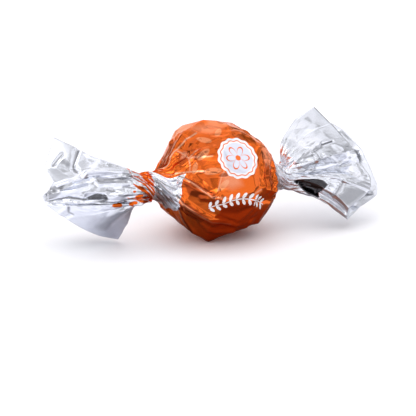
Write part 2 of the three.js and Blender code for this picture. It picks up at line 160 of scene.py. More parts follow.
for end in (LEFT, RIGHT):
    end["corners"], end["columns"] = rim_table(end)
    print(f"{len(end['rim'])} rim corners, from {end['corners'][0]:.3f} round to {end['corners'][-1]:.3f}")

# %% [markdown]
# ## The creases over the ball
#
# Foil doesn't stretch. Where it is gathered at a neck, the spare width has to go somewhere, and it
# stands up in straight creases that run out over the ball. They could be left to chance, but the eye
# knows the large ones by their places, so these are named here. Each is a line through places (degrees
# up from the front, degrees from the left pole), with how high it stands and how far it slopes down.
# A crease that falls below the ball is a dent. The fine creases are in the foil only, not in the solid.

# %% The named creases and dents: places, rise, reach
CREASES = [
    ([(140, 24), (85, 33), (89, 56)], 0.5, 2.0), ([(89, 56), (91, 68)], 0.4, 2.0),
    ([(45, 20), (37, 38)], 0.45, 2.0), ([(37, 38), (30, 67)], 0.4, 2.0),
    ([(31, 66), (3, 69)], 0.4, 2.0), ([(28, 32), (13, 49), (2, 68)], 0.4, 2.0),
    ([(-12, 28), (-20, 46), (-30, 72)], 0.5, 2.0), ([(2, 68), (-5, 87)], 0.4, 2.0),
    ([(-5, 87), (-6, 108)], 0.4, 2.2), ([(-6, 108), (0, 125), (10, 150)], 0.4, 2.0),
    ([(-40, 24), (-48, 37), (-63, 50)], 0.5, 2.0), ([(-55, 51), (-72, 80)], 0.4, 2.0),
    ([(72, 121), (35, 131)], 0.4, 2.0), ([(150, 28), (152, 80)], 0.5, 2.2),
    ([(186, 28), (176, 96)], 0.5, 2.2), ([(218, 28), (224, 84)], 0.5, 2.2),
    ([(128, 104), (126, 154)], 0.5, 2.2), ([(160, 88), (156, 154)], 0.5, 2.2),
    ([(196, 98), (190, 154)], 0.5, 2.2), ([(228, 92), (222, 154)], 0.5, 2.2),
]
DENTS = [
    ([(-21, 27), (-55, 51)], -0.5, 2.0), ([(94, 103), (95, 129), (89, 137)], -0.5, 2.0),
    ([(166, 60), (176, 78)], -0.5, 2.0), ([(204, 96), (214, 116)], -0.5, 2.0),
]
FINE_CREASES = [
    ([(83, 38), (66, 48), (53, 51)], 0.5, 1.2), ([(53, 51), (51, 36), (62, 19)], 0.5, 1.4),
    ([(53, 51), (56, 64)], 0.5, 1.2), ([(56, 64), (56, 77)], 0.42, 1.3),
    ([(53, 51), (68, 57), (74, 66)], 0.42, 1.2), ([(30, 67), (28, 83)], 0.5, 1.4),
    ([(30, 47), (15, 59), (2, 68)], 0.5, 1.2), ([(31, 130), (6, 127)], 0.42, 1.2),
    ([(34, 141), (1, 134)], 0.42, 1.2), ([(40, 155), (-8, 142)], 0.5, 1.2),
    ([(124, 49), (95, 61)], 0.5, 1.4), ([(95, 61), (98, 77)], 0.42, 1.4),
    ([(32, 33), (22, 45), (12, 57), (4, 69)], 0.5, 1.2),
    ([(-6, 27), (-14, 38), (-20, 52), (-25, 67)], 0.5, 1.3),
    ([(-25, 67), (-31, 88), (-40, 114)], 0.45, 1.3), ([(-36, 30), (-51, 42), (-57, 56)], 0.5, 1.1),
    ([(-36, 58), (-46, 76), (-44, 93)], 0.4, 1.2), ([(0, 56), (2, 75)], 0.4, 1.1),
    ([(58, 29), (54, 50)], 0.4, 1.1), ([(72, 38), (60, 59)], 0.4, 1.1),
    ([(58, 129), (44, 140), (21, 138)], 0.4, 1.2),
]
print(len(CREASES), "lines of creases,", len(DENTS), "of dents and", len(FINE_CREASES), "of fine creases")

# %% [markdown]
# ## The facets of the ball
#
# Between two creases the foil lies flat, so the wrapped ball is a body of flat facets, like a cut stone.
# A rounded ball with a rough surface would look like crumpled paper. A body of facets is easy to give:
# each is a plane, by the direction that it faces (degrees up from the front, degrees from the left pole)
# and its distance from the middle of the ball. In every direction the foil reaches as far as the nearest
# of the planes lets it.

# %% The planes of the facets: turn, pole, distance
FACETS = [
    (116, 37, 13.9), (106, 64, 14.8), (62, 42, 13.7), (40, 44, 13.85), (66, 68, 14.0), (42, 68, 13.9),
    (42, 102, 13.9), (68, 147, 15.2), (16, 88, 13.9), (20, 59, 13.8), (14, 37, 14.1), (-4, 56, 13.8),
    (-11, 93, 14.1), (-8, 127, 14.3), (-33, 53, 13.9), (-49, 32, 13.9), (-34, 81, 14.1), (-35, 110, 14.2),
    (80, 86, 14.2), (76, 114, 14.4), (22, 131, 14.2), (-90, 90, 13.9),
    (-44, 140, 14.6), (-64, 103, 13.8), (-85, 52, 13.6), (138, 39, 14.2), (122, 62, 15.6), (114, 83, 15.2),
    (107, 102, 14.7), (96, 126, 14.6), (91, 134, 15.0), (49, 158, 15.2), (-9, 157, 14.8),
    (168, 58, 14.2), (162, 95, 14.3), (140, 112, 14.5), (134, 142, 14.4), (178, 132, 14.1), (198, 80, 14.0),
    (196, 40, 13.8), (222, 112, 14.2), (232, 62, 14.1), (242, 90, 14.0), (236, 140, 14.2), (190, 156, 14.4),
    (-110, 122, 14.2), (-122, 70, 14.0),
]
print(len(FACETS), "facets")

# %% [markdown]
# ## The form of the wrapped praline
#
# These functions give the same form as the solid: a ball with its creases, necks that narrow to a
# waist while they turn, and tails whose rays bend from the neck to the rim. They work on whole arrays,
# so that a grid of a hundred thousand points takes a moment. The finer folds come on top of this form.


# %% Small helpers on arrays
def smooth(x, low, high):
    """0 up to low, 1 from high on, and a soft step between them."""
    share = np.clip((x - low) / (high - low), 0, 1)
    return share * share * (3 - 2 * share)


def arch(share):
    """0 at both ends of a stretch, and 1 in its middle."""
    return 4 * share * (1 - share)


def short_way(value, middle, whole):
    """How far a value lies past the middle, the short way round."""
    return (value - middle + whole / 2) % whole - whole / 2


def gathered_width(place, least):
    """How wide the sheet still is over the ball, as a share of its width laid flat."""
    return np.clip(np.cos(place / BALL_RADIUS), least, 1)


def distance_to(line, points):
    """How far each point is from a line of straight pieces."""
    nearest = np.full(len(points), np.inf)
    for a, b in zip(line, line[1:]):
        share = np.clip((points - a) @ (b - a) / ((b - a) @ (b - a)), 0, 1)
        nearest = np.minimum(nearest, np.linalg.norm(points - a - share[:, None] * (b - a), axis=1))
    return nearest


# %% Unevenness that repeats: crumples and pleats
SCATTER, STRETCH = (127.1, 311.7, 74.7), 43758.5453       # odd factors, so that neighbours differ
PLEAT_DRIFT = ((0.3, 2, 1), (0.2, 5, 2))                  # share, waves in a turn, times the seed


def corner_value(i, j, seed):
    """A repeatable value between -1 and 1 for each cell corner of a crumpled surface."""
    wave = np.sin(i * SCATTER[0] + j * SCATTER[1] + seed * SCATTER[2]) * STRETCH
    return 2 * (wave - np.floor(wave)) - 1


def crumple(around, along, cells, seed):
    """Flat triangles between cell corners. It closes on itself round the twist."""
    x = (around - np.floor(around)) * cells[0]
    y = along * cells[1]
    i, j = np.floor(x), np.floor(y)
    fx, fy = x - i, y - j
    v00, v10, v01, v11 = (
        corner_value((i + di) % cells[0], j + dj, seed) for di, dj in ((0, 0), (1, 0), (0, 1), (1, 1))
    )
    lower = v00 + (v10 - v00) * fx + (v01 - v00) * fy
    upper = v11 + (v01 - v11) * (1 - fx) + (v10 - v11) * (1 - fy)
    return np.where(fx + fy < 1, lower, upper)


def pleats(around, count, seed):
    """A zigzag between 0 and 1 with pleats of uneven width."""
    angle = 2 * np.pi * around
    drift = sum(share * np.sin(waves * angle + times * seed) for share, waves, times in PLEAT_DRIFT)
    uneven = around * count + drift
    return np.abs(2 * (uneven - np.floor(uneven)) - 1)


# %% From turns to points
def on_circle(x, radius, turn):
    return np.stack(np.broadcast_arrays(x, -radius * np.cos(turn), radius * np.sin(turn)), axis=-1)


def on_sphere(turn, pole):
    return on_circle(-BALL_RADIUS * np.cos(pole), BALL_RADIUS * np.sin(pole), turn)


print("front of the ball, in mm:", on_sphere(0.0, math.pi / 2).round(1))

# %% [markdown]
# ### The ball
#
# The facets give how far the foil reaches, the creases stand on them, and a slight unevenness keeps the
# facets from looking machined. The necks aren't on the ball's axis, so the foil leans over to them, and
# it is pressed flat where it lies on the ground.

# %% The ball
FACET_VIEW = 0.3                      # a facet counts only where it is not seen edge-on from the middle
UNEVEN_RISE, UNEVEN_CELLS, UNEVEN_SEED = 0.15, (12, 9), 3


def strongest(lines, points):
    """The height of the creases over each point: where several meet, the strongest holds."""
    best = np.zeros(len(points))
    for places, rise, reach in lines:
        line = on_sphere(*np.radians(np.array(places, float)).T)
        height = rise * np.maximum(0, 1 - distance_to(line, points) / reach)
        best = np.where(np.abs(height) > np.abs(best), height, best)
    return best


def facet_reach(directions):
    """How far from the middle the flat facets let the foil go, in each direction."""
    turn, pole, distance = np.array(FACETS, float).T
    faces = on_sphere(np.radians(turn), np.radians(pole)) / BALL_RADIUS
    return np.min(distance / np.maximum(directions @ faces.T, FACET_VIEW), axis=1)


def ball_point(around, pole):
    points = on_sphere(2 * np.pi * around, pole)
    directions = points / BALL_RADIUS
    stand = strongest(CREASES, points) + strongest(DENTS, points)
    uneven = UNEVEN_RISE * crumple(around, pole / np.pi, UNEVEN_CELLS, UNEVEN_SEED)
    return directions * (facet_reach(directions) + stand + uneven)[:, None]


def leaned(points):
    """The necks sit off the ball's axis, and the foil leans over to them."""
    for end in (LEFT, RIGHT):
        beyond = np.maximum(end["side"] * points[:, 0], 0)
        share = smooth(beyond, BALL_RADIUS / 2, end["waist"][0])
        points = points + share[:, None] * np.array(end["shift"])
    points[:, 2] = np.maximum(points[:, 2] + BALL_HEIGHT, 0)
    return points


# %% [markdown]
# ### The necks and the tails
#
# A neck is a tube that narrows to a waist and turns about its own length, as a twisted bag does. A tail
# starts at the neck as a circle and ends at the corners of its rim. Between the two every point of the
# sheet runs out along a ray that is bent once, which is all that springy foil does by itself.

# %% The necks and the tails
NECK_PLEATS, NECK_PLEAT_DEPTH = 9, 0.16
NECK_POWER = {"ball side": 2.6, "tail side": 1.6}         # how sharply it narrows to the waist
GATHERED_BY, TURNED_FROM = 0.5, 0.05                      # shares of the neck's length
RIM_BOW = 0.12


def at_rim(end, around, names):
    """What the rim's corners give at a place round the sheet, straight between corner and corner."""
    turns = np.floor(around - end["corners"][0] + TINY)
    found = [np.interp(around - turns, end["corners"], end["columns"][name]) for name in names]
    return turns, np.stack(found, axis=-1)


def rim_bow(end, around, at):
    """How the rim bows out between two corners, as a cut edge of foil does."""
    past_first = end["corners"] - end["corners"][0]
    corner = np.interp((around - end["corners"][0] + TINY) % 1, past_first, range(len(past_first)))
    outward = at - np.mean([place for _, _, _, place, _, _ in end["rim"]], axis=0)
    outward /= np.linalg.norm(outward, axis=1, keepdims=True)
    return outward * (RIM_BOW * arch(corner - np.floor(corner)))[:, None]


def neck_point(end, around, along):
    """The neck, from the ball's edge (0) over the waist to the tail's root (1)."""
    pole = math.radians(BALL_EDGE if end["side"] < 0 else 180 - BALL_EDGE)
    edge = ball_point(around, np.full(len(around), pole))
    edge_x, edge_radius = np.abs(edge[:, 0]), np.hypot(edge[:, 1], edge[:, 2])
    (waist_x, waist_radius), (root_x, root_radius) = end["waist"], end["root"]
    x = edge_x + (root_x - edge_x) * along
    ball_side = x < waist_x
    run = np.where(ball_side, waist_x - edge_x, root_x - waist_x)
    rise = np.where(ball_side, edge_radius, root_radius) - waist_radius
    power = np.where(ball_side, NECK_POWER["ball side"], NECK_POWER["tail side"])
    folds = NECK_PLEAT_DEPTH * (pleats(around, NECK_PLEATS, end["side"]) - 0.5)
    gathered = smooth(along, 0, GATHERED_BY) * folds
    radius = (waist_radius + rise * (np.abs(x - waist_x) / run) ** power) * (1 + gathered)
    turns, found = at_rim(end, around, ["turn"])
    root_turn = found[:, 0] + FULL_TURN * turns
    turn = FULL_TURN * around + (root_turn - FULL_TURN * around) * smooth(along, TURNED_FROM, 1)
    return leaned(on_circle(end["side"] * x, radius, np.radians(turn)))


def tail_point(end, around, along):
    """The tail, from its root (0) to its rim (1), along a ray that the bend pushes out."""
    root = neck_point(end, around, np.ones(len(around)))
    _, found = at_rim(end, around, ["at x", "at y", "at z", "bend x", "bend y", "bend z"])
    rim, bend = found[:, :3] + rim_bow(end, around, found[:, :3]), found[:, 3:]
    middle = (root + rim) / 2 + bend
    share = along[:, None]
    return (1 - share) ** 2 * root + 2 * share * (1 - share) * middle + share**2 * rim


# %% The whole wrapper
def wrapper_point(around, place):
    """The form of the whole wrapper at a place of the sheet."""
    points = np.zeros((len(around), 3))
    ball = np.abs(place) <= BALL_REACH
    points[ball] = leaned(ball_point(around[ball], np.pi / 2 + place[ball] / BALL_RADIUS))
    for end in (LEFT, RIGHT):
        side, root = end["side"], NECK_LENGTH[end["side"]]
        beyond = side * place - BALL_REACH
        neck, tail = (beyond > 0) & (beyond <= root), beyond > root
        points[neck] = neck_point(end, around[neck], beyond[neck] / root)
        points[tail] = tail_point(end, around[tail], (beyond[tail] - root) / TAIL_LENGTH[side])
    return points


top_of_ball = wrapper_point(np.array([0.25]), np.array([0.0]))[0]
print("top of the wrapped ball, in mm:", top_of_ball.round(1))


# %% [markdown]
# ## The fine folds
#
# Crumpled foil is a net of small flat facets with sharp edges between them. A noise texture would make
# soft hills instead. To get such a net, points are scattered over the flat sheet, each with a small
# height, and joined to triangles; a vertical ray then reads the height of the triangle under each place
# of the sheet. A coarse net and a fine one are used together.


# %% The net of facets
NET_SPAN = (-55, 50)                  # mm along the sheet, a little past both rims
NET_JITTER = 0.45                     # how far a point is moved, as a share of the spacing
NET_MARGIN = 3                        # spacings that the net goes on past the sheet's seam
DOWN, FAR_ABOVE = Vector((0, 0, -1)), 10.0


def facet_net(spacing, seed):
    """Random facets over the flat sheet, about spacing millimetres across."""
    random = np.random.default_rng(seed)
    columns = round(SHEET_ROUND / spacing)
    x, y = np.meshgrid(np.arange(columns) * SHEET_ROUND / columns, np.arange(*NET_SPAN, spacing))
    jitter = random.uniform(-NET_JITTER, NET_JITTER, (x.size, 2)) * spacing
    spots = np.stack([x.ravel(), y.ravel()], axis=1) + jitter
    heights = random.uniform(-1, 1, x.size)
    around_again = [spots + (shift, 0) for shift in (-SHEET_ROUND, 0, SHEET_ROUND)]
    spots, heights = np.concatenate(around_again), np.tile(heights, len(around_again))
    margin = NET_MARGIN * spacing
    near = (spots[:, 0] > -margin) & (spots[:, 0] < SHEET_ROUND + margin)
    spots, heights = [Vector(spot) for spot in spots[near]], heights[near]
    flat, _, facets, origin, _, _ = geometry.delaunay_2d_cdt(spots, [], [], 0, TINY)
    corners = [(p.x, p.y, heights[source[0]]) for p, source in zip(flat, origin)]
    print(f"{len(facets)} facets, about {spacing} mm across")
    return BVHTree.FromPolygons(corners, facets)


def facet_height(net, around, place):
    x = (around - np.floor(around)) * SHEET_ROUND
    return np.array([net.ray_cast(Vector((a, b, FAR_ABOVE)), DOWN)[0].z for a, b in zip(x, place)])


COARSE_NET, FINE_NET = facet_net(spacing=3.1, seed=11), facet_net(spacing=1.35, seed=12)

# %% [markdown]
# ### Scattered creases and the lap
#
# Hands leave straight creases all over a wrapper, some up and some down. They are drawn at random on the
# flat sheet, with a seed, so that they come out the same each time. At the back the sheet's own edge
# lies over its start. That lap rises slowly and drops at once.

# %% Scattered creases and the lap at the back
CREASE_STARTS = (-BALL_REACH - 2, BALL_REACH - 4)
CREASE_LEAN = 0.5                     # spread of the angle off the sheet's length, in radians
CREASE_LENGTHS, CREASE_RISES, CREASE_REACHES = (4, 13), (0.12, 0.34), (0.8, 1.9)
CREASE_POWER = 1.4                    # over 1, so that a crease has a sharp ridge
LAP_TURN, LAP_RISE, LAP_WIDTH, LAP_DROP = 205.0, 0.22, 5.0, 0.25


def scattered_creases(count, seed):
    """Straight creases on the flat sheet: start, run, rise and reach, mostly along the sheet."""
    random = np.random.default_rng(seed)
    creases = []
    for _ in range(count):
        start = np.array([random.uniform(0, SHEET_ROUND), random.uniform(*CREASE_STARTS)])
        lean = random.normal(0, CREASE_LEAN)
        run = random.uniform(*CREASE_LENGTHS) * np.array([math.sin(lean), math.cos(lean)])
        rise = random.choice((-1, 1)) * random.uniform(*CREASE_RISES)
        creases.append((start, run, rise, random.uniform(*CREASE_REACHES)))
    return creases


def crease_height(around, place):
    """The height of the scattered creases, each highest in its middle."""
    gather = gathered_width(place, least=0.25)
    height = np.zeros(len(around))
    for start, run, rise, reach in SCATTERED:
        beside = short_way(around * SHEET_ROUND, start[0], SHEET_ROUND)
        offset = np.stack([beside, place - start[1]], axis=1)
        share = np.clip(offset @ run / (run @ run), 0, 1)
        away = (offset - share[:, None] * run) * np.stack([gather, np.ones_like(gather)], axis=1)
        near = np.maximum(0, 1 - np.hypot(away[:, 0], away[:, 1]) / reach)
        height += rise * arch(share) * near**CREASE_POWER
    return height


def lap_height(around):
    """The sheet's edge: it rises slowly and drops at once."""
    before = (LAP_TURN / FULL_TURN - around) % 1 * SHEET_ROUND
    return LAP_RISE * np.maximum(0, 1 - before / LAP_WIDTH) * smooth(before, 0, LAP_DROP)


SCATTERED = scattered_creases(count=84, seed=21)
print(len(SCATTERED), "scattered creases")

# %% [markdown]
# ### Folds that are named
#
# Some folds of the tails are so large or so dark that everyone sees where they are. Chance wouldn't put
# them there, so each is given as a line through places of the sheet (degrees round, millimetres along),
# with its rise and its reach to each side. How far a point is from such a line is measured on the bent
# form, not on the flat sheet, so a fold keeps its width where the sheet is gathered.

# %% Folds that are named on the sheet: places, rise, reach
FOLDS = [
    ([(343, -42.8), (314, -42.8)], -0.40, 0.8),
    ([(323, -47.4), (332, -46.3)], -0.35, 0.7),
    ([(324, -45.5), (318, -42.7)], -0.40, 1.6),
    ([(304, -49.5), (304, -42.9), (312, -40.5), (321, -28.4)], 0.50, 0.8),
    ([(280, -38.8), (297, -28.8)], 0.35, 0.7),
    ([(280, -38.8), (271, -37.2), (274, -29.3)], 0.35, 0.7),
    ([(286, -43.0), (282, -41.0)], -0.55, 0.9),
    ([(290, -40.0), (284, -38.6)], -0.50, 0.8),
    ([(243, -49.3), (252, -44.3), (248, -40.5), (243, -36.0), (215, -30.0)], -0.55, 0.8),
    ([(256, -49.0), (262, -44.0), (268, -40.0)], 0.40, 0.9),
    ([(252, -39.5), (250, -35.9)], -0.90, 1.4),
    ([(188, -49.5), (199, -45.2), (216, -43.0)], 0.35, 0.8),
    ([(182, -49.1), (186, -46.5)], -0.35, 0.8),
    ([(170, -31.4), (155, -38.7), (146, -45.0)], 0.45, 2.2),
    ([(-5, -20.0), (16, -14.7)], 0.30, 0.5),
    ([(-15, -20.0), (-3, -14.5)], 0.30, 0.5),
    ([(-35, -20.0), (-24, -14.5)], 0.35, 0.6),
    ([(5, -20.0), (27, -13.7)], 0.30, 0.5),
    ([(182, 35.3), (182, 38.7)], -0.45, 0.6),
    ([(174, 25.5), (180, 30.8), (184, 35.0)], 0.35, 0.8),
    ([(177, 31.3), (157, 30.7)], 0.40, 0.7),
    ([(167, 33.5), (144, 37.1)], 0.40, 0.7),
    ([(145, 25.5), (144, 37.1), (148, 40.1)], 0.40, 0.8),
    ([(130, 23.2), (119, 32.0), (112, 35.0), (104, 42.5)], 0.35, 0.7),
    ([(103, 35.1), (96, 42.5)], 0.35, 0.7),
    ([(103, 35.1), (63, 37.0)], -0.40, 0.8),
    ([(30, 33.2), (34, 41.7)], 0.35, 0.7),
    ([(219, 26.0), (225, 38.0)], 0.30, 2.5),
    ([(200, 24.0), (206, 38.0)], 0.30, 2.2),
]
FOLD_STEPS = 6                        # straight pieces from one place to the next
FOLD_NEAR = 0.08                      # share of a turn past its ends over which a fold is looked for
print(len(FOLDS), "named folds")


def away_from(places, form, around):
    """Which points lie near a line of places, and how far from it they are, in real millimetres."""
    turns, along = np.array(places, float).T
    steps = np.linspace(0, len(places) - 1, FOLD_STEPS * (len(places) - 1) + 1)
    turns = np.interp(steps, range(len(places)), turns) / FULL_TURN
    line = wrapper_point(turns, np.interp(steps, range(len(places)), along))
    middle, half = (turns.min() + turns.max()) / 2, (turns.max() - turns.min()) / 2
    near = np.flatnonzero(np.abs(short_way(around, middle, 1)) < half + FOLD_NEAR)
    return near, distance_to(line, form[near])


def named_folds(form, around):
    """The height of the named folds: tents along their lines."""
    height = np.zeros(len(around))
    for places, rise, reach in FOLDS:
        near, nearest = away_from(places, form, around)
        height[near] += rise * np.maximum(0, 1 - nearest / reach)
    return height


# %% [markdown]
# ### The pocket of the right tail
#
# On the right tail the foil turns in under itself and leaves a dark pocket. A hole in the sheet would be
# wrong, because the foil goes on inside. So the sheet is pressed in between a top edge and a lip, slowly
# from the top and steeply at the lip.

# %% The pocket of the right tail
POCKET_DEPTH = 1.7
POCKET_TOP = ((23.0, 29.2, 32.9), (100, 104, 86))         # places, and degrees round there
POCKET_LIP = ((23.0, 25.7, 28.8, 32.9), (95, 52, 34, 30))
POCKET_FALL, POCKET_RETURN = 0.75, 0.20                   # shares of the way from the top to the lip
POCKET_FADES = (2.0, 0.6)                                 # mm along the sheet at its two ends


def pocket(around, place):
    """The foil falls back below the pocket's top edge, and comes up again at its lip."""
    top, lip = (np.interp(place, *line) for line in (POCKET_TOP, POCKET_LIP))
    share = (top - around * FULL_TURN) / (top - lip)
    down = np.minimum(share / POCKET_FALL, (1 - share) / POCKET_RETURN)
    from_start, to_stop = place - POCKET_TOP[0][0], POCKET_TOP[0][-1] - place
    ends = np.minimum(from_start / POCKET_FADES[0], to_stop / POCKET_FADES[1])
    return -POCKET_DEPTH * np.clip(down, 0, 1) * np.clip(ends, 0, 1)


print(f"the pocket is {POCKET_DEPTH} mm deep and {POCKET_TOP[0][-1] - POCKET_TOP[0][0]:.1f} mm long")

# %% [markdown]
# ## Painted shade and painted highlights
#
# Deep in a fold, foil mirrors only the fold itself and looks nearly black, and some facets of the ball
# mirror something dark. On a ridge the foil catches the light and looks pale. The folds of this mesh are
# shallower than real ones, so light alone wouldn't show it. Both are therefore painted into the material
# as painted shade and painted highlights: fields and lines on the sheet, each with a strength, become two
# attributes of the mesh, *shade* and *glint*. This is paint: it stays where it is when the light changes.
# The shade in a real fold nearly does so too. The pale fields stand for a white reflection, which on real
# foil would move, so they are few and faint.

# %% Shaded fields: corners on the sheet, depth of the shade, softness in mm
SHADED_FIELDS = [
    ([(101, 23.0), (104, 26.0), (105, 29.2), (84, 32.8), (24, 32.6), (22, 28.8), (50, 25.7)], 0.93, 0.25),
    ([(64, 37.2), (101, 35.6), (95, 42.0), (33, 41.3)], 0.20, 0.3),
    ([(100, 37.0), (112, 40.5), (104, 43.6), (97, 43.0)], 0.30, 0.3),
    ([(175, 33.6), (158, 33.2), (146, 37.2), (160, 40.5), (180, 38.0)], 0.16, 0.5),
    ([(280, -38.8), (297, -28.8), (275, -29.3), (271, -37.2)], 0.50, 0.4),
    ([(252, -40.0), (260, -37.2), (256, -34.6), (248, -34.2), (241, -36.4), (245, -39.6)], 0.86, 0.3),
    ([(272, -45.6), (268, -49.6), (246, -49.6), (250, -47.4), (258, -46.0)], 0.55, 0.5),
    ([(258, -45.5), (262, -42.5), (262, -37.6), (254, -40.0)], 0.22, 0.6),
    (
        [(70, -20.5), (82, -14.5), (84, -10.0), (100, -9.5), (122, -10.5), (140, -13.5), (130, -20.5)],
        0.75, 0.8,
    ),
    ([(31, -13.8), (21, -11.2), (5, -5.6), (-2, -7.6), (2, -12.4)], 0.62, 0.4),
    ([(-8, -15.6), (-16, -12.4), (-24, -6.0), (-38, -8.0), (-38, -14.4)], 0.50, 0.5),
    ([(54, -9.9), (79, -12.2), (60, -14.6), (46, -13.6)], 0.48, 0.4),
    ([(53, -9.4), (58, -6.6), (47, -4.2), (37, -7.4)], 0.36, 0.5),
    ([(-2, -3.6), (-5, 1.4), (-2, 8.2), (-12, 8.0), (-20, 1.0), (-16, -4.0)], 0.48, 0.9),
    ([(28, -10.6), (34, -7.0), (24, -4.0), (10, -6.4)], 0.25, 0.6),
    ([(40, 11.0), (20, 10.5), (2, 10.8), (4, 13.6), (36, 14.2)], 0.55, 0.8),
    ([(90, 9.0), (80, 11.8), (70, 10.2)], 1.0, 0.3),
    ([(42, -12.6), (78, -12.0), (80, -3.0), (62, 1.0), (44, -2.6)], 0.20, 1.6),
]
print(len(SHADED_FIELDS), "shaded fields")

# %% Shaded lines: places, depth of the shade, reach in mm
SHADED_LINES = [
    ([(343, -42.8), (314, -42.8)], 0.70, 0.45),
    ([(322, -47.6), (332, -46.3)], 0.55, 0.40),
    ([(327, -45.9), (324, -43.9)], 0.30, 0.9),
    ([(285, -42.6), (282, -41.2)], 0.75, 0.45),
    ([(289, -40.3), (286, -38.9)], 0.70, 0.35),
    ([(244, -49.4), (252, -44.3), (248, -40.5), (243, -36.0), (215, -30.0)], 0.78, 0.42),
    ([(192, -46.0), (200, -44.6)], 0.55, 0.45),
    ([(186, -46.0), (192, -46.0)], 0.45, 0.40),
    ([(165, -33.5), (156, -39.0), (152, -43.5)], 0.38, 2.4),
    ([(182, 35.5), (182, 38.6)], 0.90, 0.30),
    ([(178, 31.6), (180, 34.6)], 0.35, 0.8),
    ([(176, 26.0), (180, 30.4)], 0.45, 0.5),
    ([(63, 37.0), (103, 35.3)], 0.50, 0.45),
    ([(34, 33.4), (38, 41.0)], 0.20, 0.7),
    ([(310, -30.6), (309, -28.8)], 0.60, 0.40),
    ([(300, -30.0), (297, -28.4)], 0.60, 0.35),
    ([(286, -31.2), (282, -28.0)], 0.50, 0.30),
    ([(270, -30.6), (268, -27.4)], 0.55, 0.30),
    ([(256, -31.6), (254, -28.0)], 0.60, 0.35),
    ([(240, -31.2), (236, -27.8)], 0.55, 0.32),
    ([(264, -34.8), (261, -32.0)], 0.50, 0.30),
    ([(279, -34.4), (276, -31.8)], 0.40, 0.30),
    ([(292, -27.6), (290, -25.4)], 0.60, 0.35),
    ([(262, -26.6), (258, -24.4)], 0.60, 0.35),
    ([(172, 25.0), (166, 28.0)], 0.45, 0.30),
    ([(178, 26.5), (182, 29.0)], 0.50, 0.30),
    ([(175, 28.0), (173, 30.6)], 0.55, 0.40),
    ([(165, 30.0), (160, 33.0)], 0.50, 0.35),
    ([(160, 26.0), (156, 31.0)], 0.40, 0.30),
    ([(150, 25.0), (147, 30.0)], 0.45, 0.30),
    ([(152, 33.0), (148, 38.0)], 0.40, 0.30),
    ([(140, 28.0), (136, 33.0)], 0.40, 0.30),
    ([(132, 29.0), (128, 34.0)], 0.35, 0.30),
    ([(142, 36.0), (139, 40.0)], 0.35, 0.30),
    ([(125, 26.0), (121, 30.0)], 0.35, 0.25),
    ([(-84, -21.0), (-84, -17.4)], 0.60, 0.35),
    ([(-66, -21.0), (-62, -16.4)], 0.55, 0.25),
    ([(-48, -21.0), (-41, -15.4)], 0.65, 0.40),
    ([(-30, -21.0), (-24, -15.4)], 0.45, 0.22),
    ([(-16, -21.0), (-5, -15.2)], 0.60, 0.30),
    ([(0, -21.0), (12, -15.6)], 0.50, 0.25),
    ([(-26, -17.5), (-14, -15.2)], 0.60, 0.40),
    ([(34, -14.3), (24, -11.3), (14, -8.3), (6, -5.2)], 0.85, 0.40),
    ([(-4, -15.6), (-12, -13.1), (-18, -9.6), (-23, -6.2)], 0.80, 0.40),
    ([(-36, -14.9), (-51, -12.0), (-57, -8.6)], 0.90, 0.45),
    ([(74, -13.1), (62, -7.8)], 0.60, 0.35),
    ([(128, -3.0), (116, 3.0), (106, 6.6), (95, 9.6)], 1.0, 0.75),
]
print(len(SHADED_LINES), "shaded lines")

# %% Painted reflections on the lacquer, and glints: painted highlights on ridges of the ball
PALE_FIELDS = [
    ([(31, -3.6), (12, -4.0), (6, -0.6), (10, 3.2), (26, 2.4)], 0.30, 1.8),
    ([(98, -8.0), (84, -6.0), (72, -2.0), (80, 3.0), (100, 2.0)], 0.22, 2.0),
    ([(66, -13.0), (58, -11.2), (60, -9.0), (74, -10.4)], 0.25, 0.8),
    ([(104, -9.2), (124, -9.8), (136, -8.0), (134, -3.6), (112, -2.6), (96, -6.6)], 0.38, 0.7),
    ([(28, 11.0), (44, 9.0), (70, 8.0), (72, 12.0), (40, 14.0)], 0.25, 1.2),
    ([(104, -1.0), (96, 5.0), (80, 9.0), (62, 9.0), (74, 5.0), (90, -2.0)], 0.22, 1.0),
]
GLINTS = [
    ([(72, -18.8), (84, -14.5), (82, -9.4), (84, -5.3)], 0.65, 0.30),
    ([(49, -18.4), (40, -13.9), (32, -6.8)], 0.60, 0.28),
    ([(54, -9.9), (80, -12.0)], 0.45, 0.28),
    ([(54, -9.9), (60, -6.5)], 0.50, 0.30),
    ([(54, -9.9), (47, -4.0)], 0.40, 0.28),
    ([(54, -9.9), (36, -11.0)], 0.35, 0.25),
    ([(4, -5.2), (1, -2.0), (0, 1.4), (3, 8.2)], 0.40, 0.28),
    ([(32, -13.8), (21, -11.0), (10, -8.0), (2, -5.0)], 0.50, 0.28),
    ([(-7, -15.4), (-15, -12.9), (-21, -9.4), (-26, -5.6), (-31, -0.4)], 0.40, 0.28),
    ([(34, -1.4), (25, -2.8), (10, -4.2)], 0.45, 0.26),
    ([(-40, -14.6), (-54, -11.8), (-60, -8.4)], 0.35, 0.28),
    ([(58, 9.8), (44, 12.4), (30, 13.0)], 0.40, 0.30),
    ([(146, -4.6), (149, -0.6)], 0.90, 0.40),
    ([(141, -6.8), (143, -5.0)], 0.80, 0.35),
    ([(152, 0.6), (153, 3.0)], 0.70, 0.35),
]
print(len(PALE_FIELDS), "pale fields and", len(GLINTS), "glints")

# %% How strongly a place is marked
LINE_CORE = 1.4                       # over 1, so that a line has a core of full strength


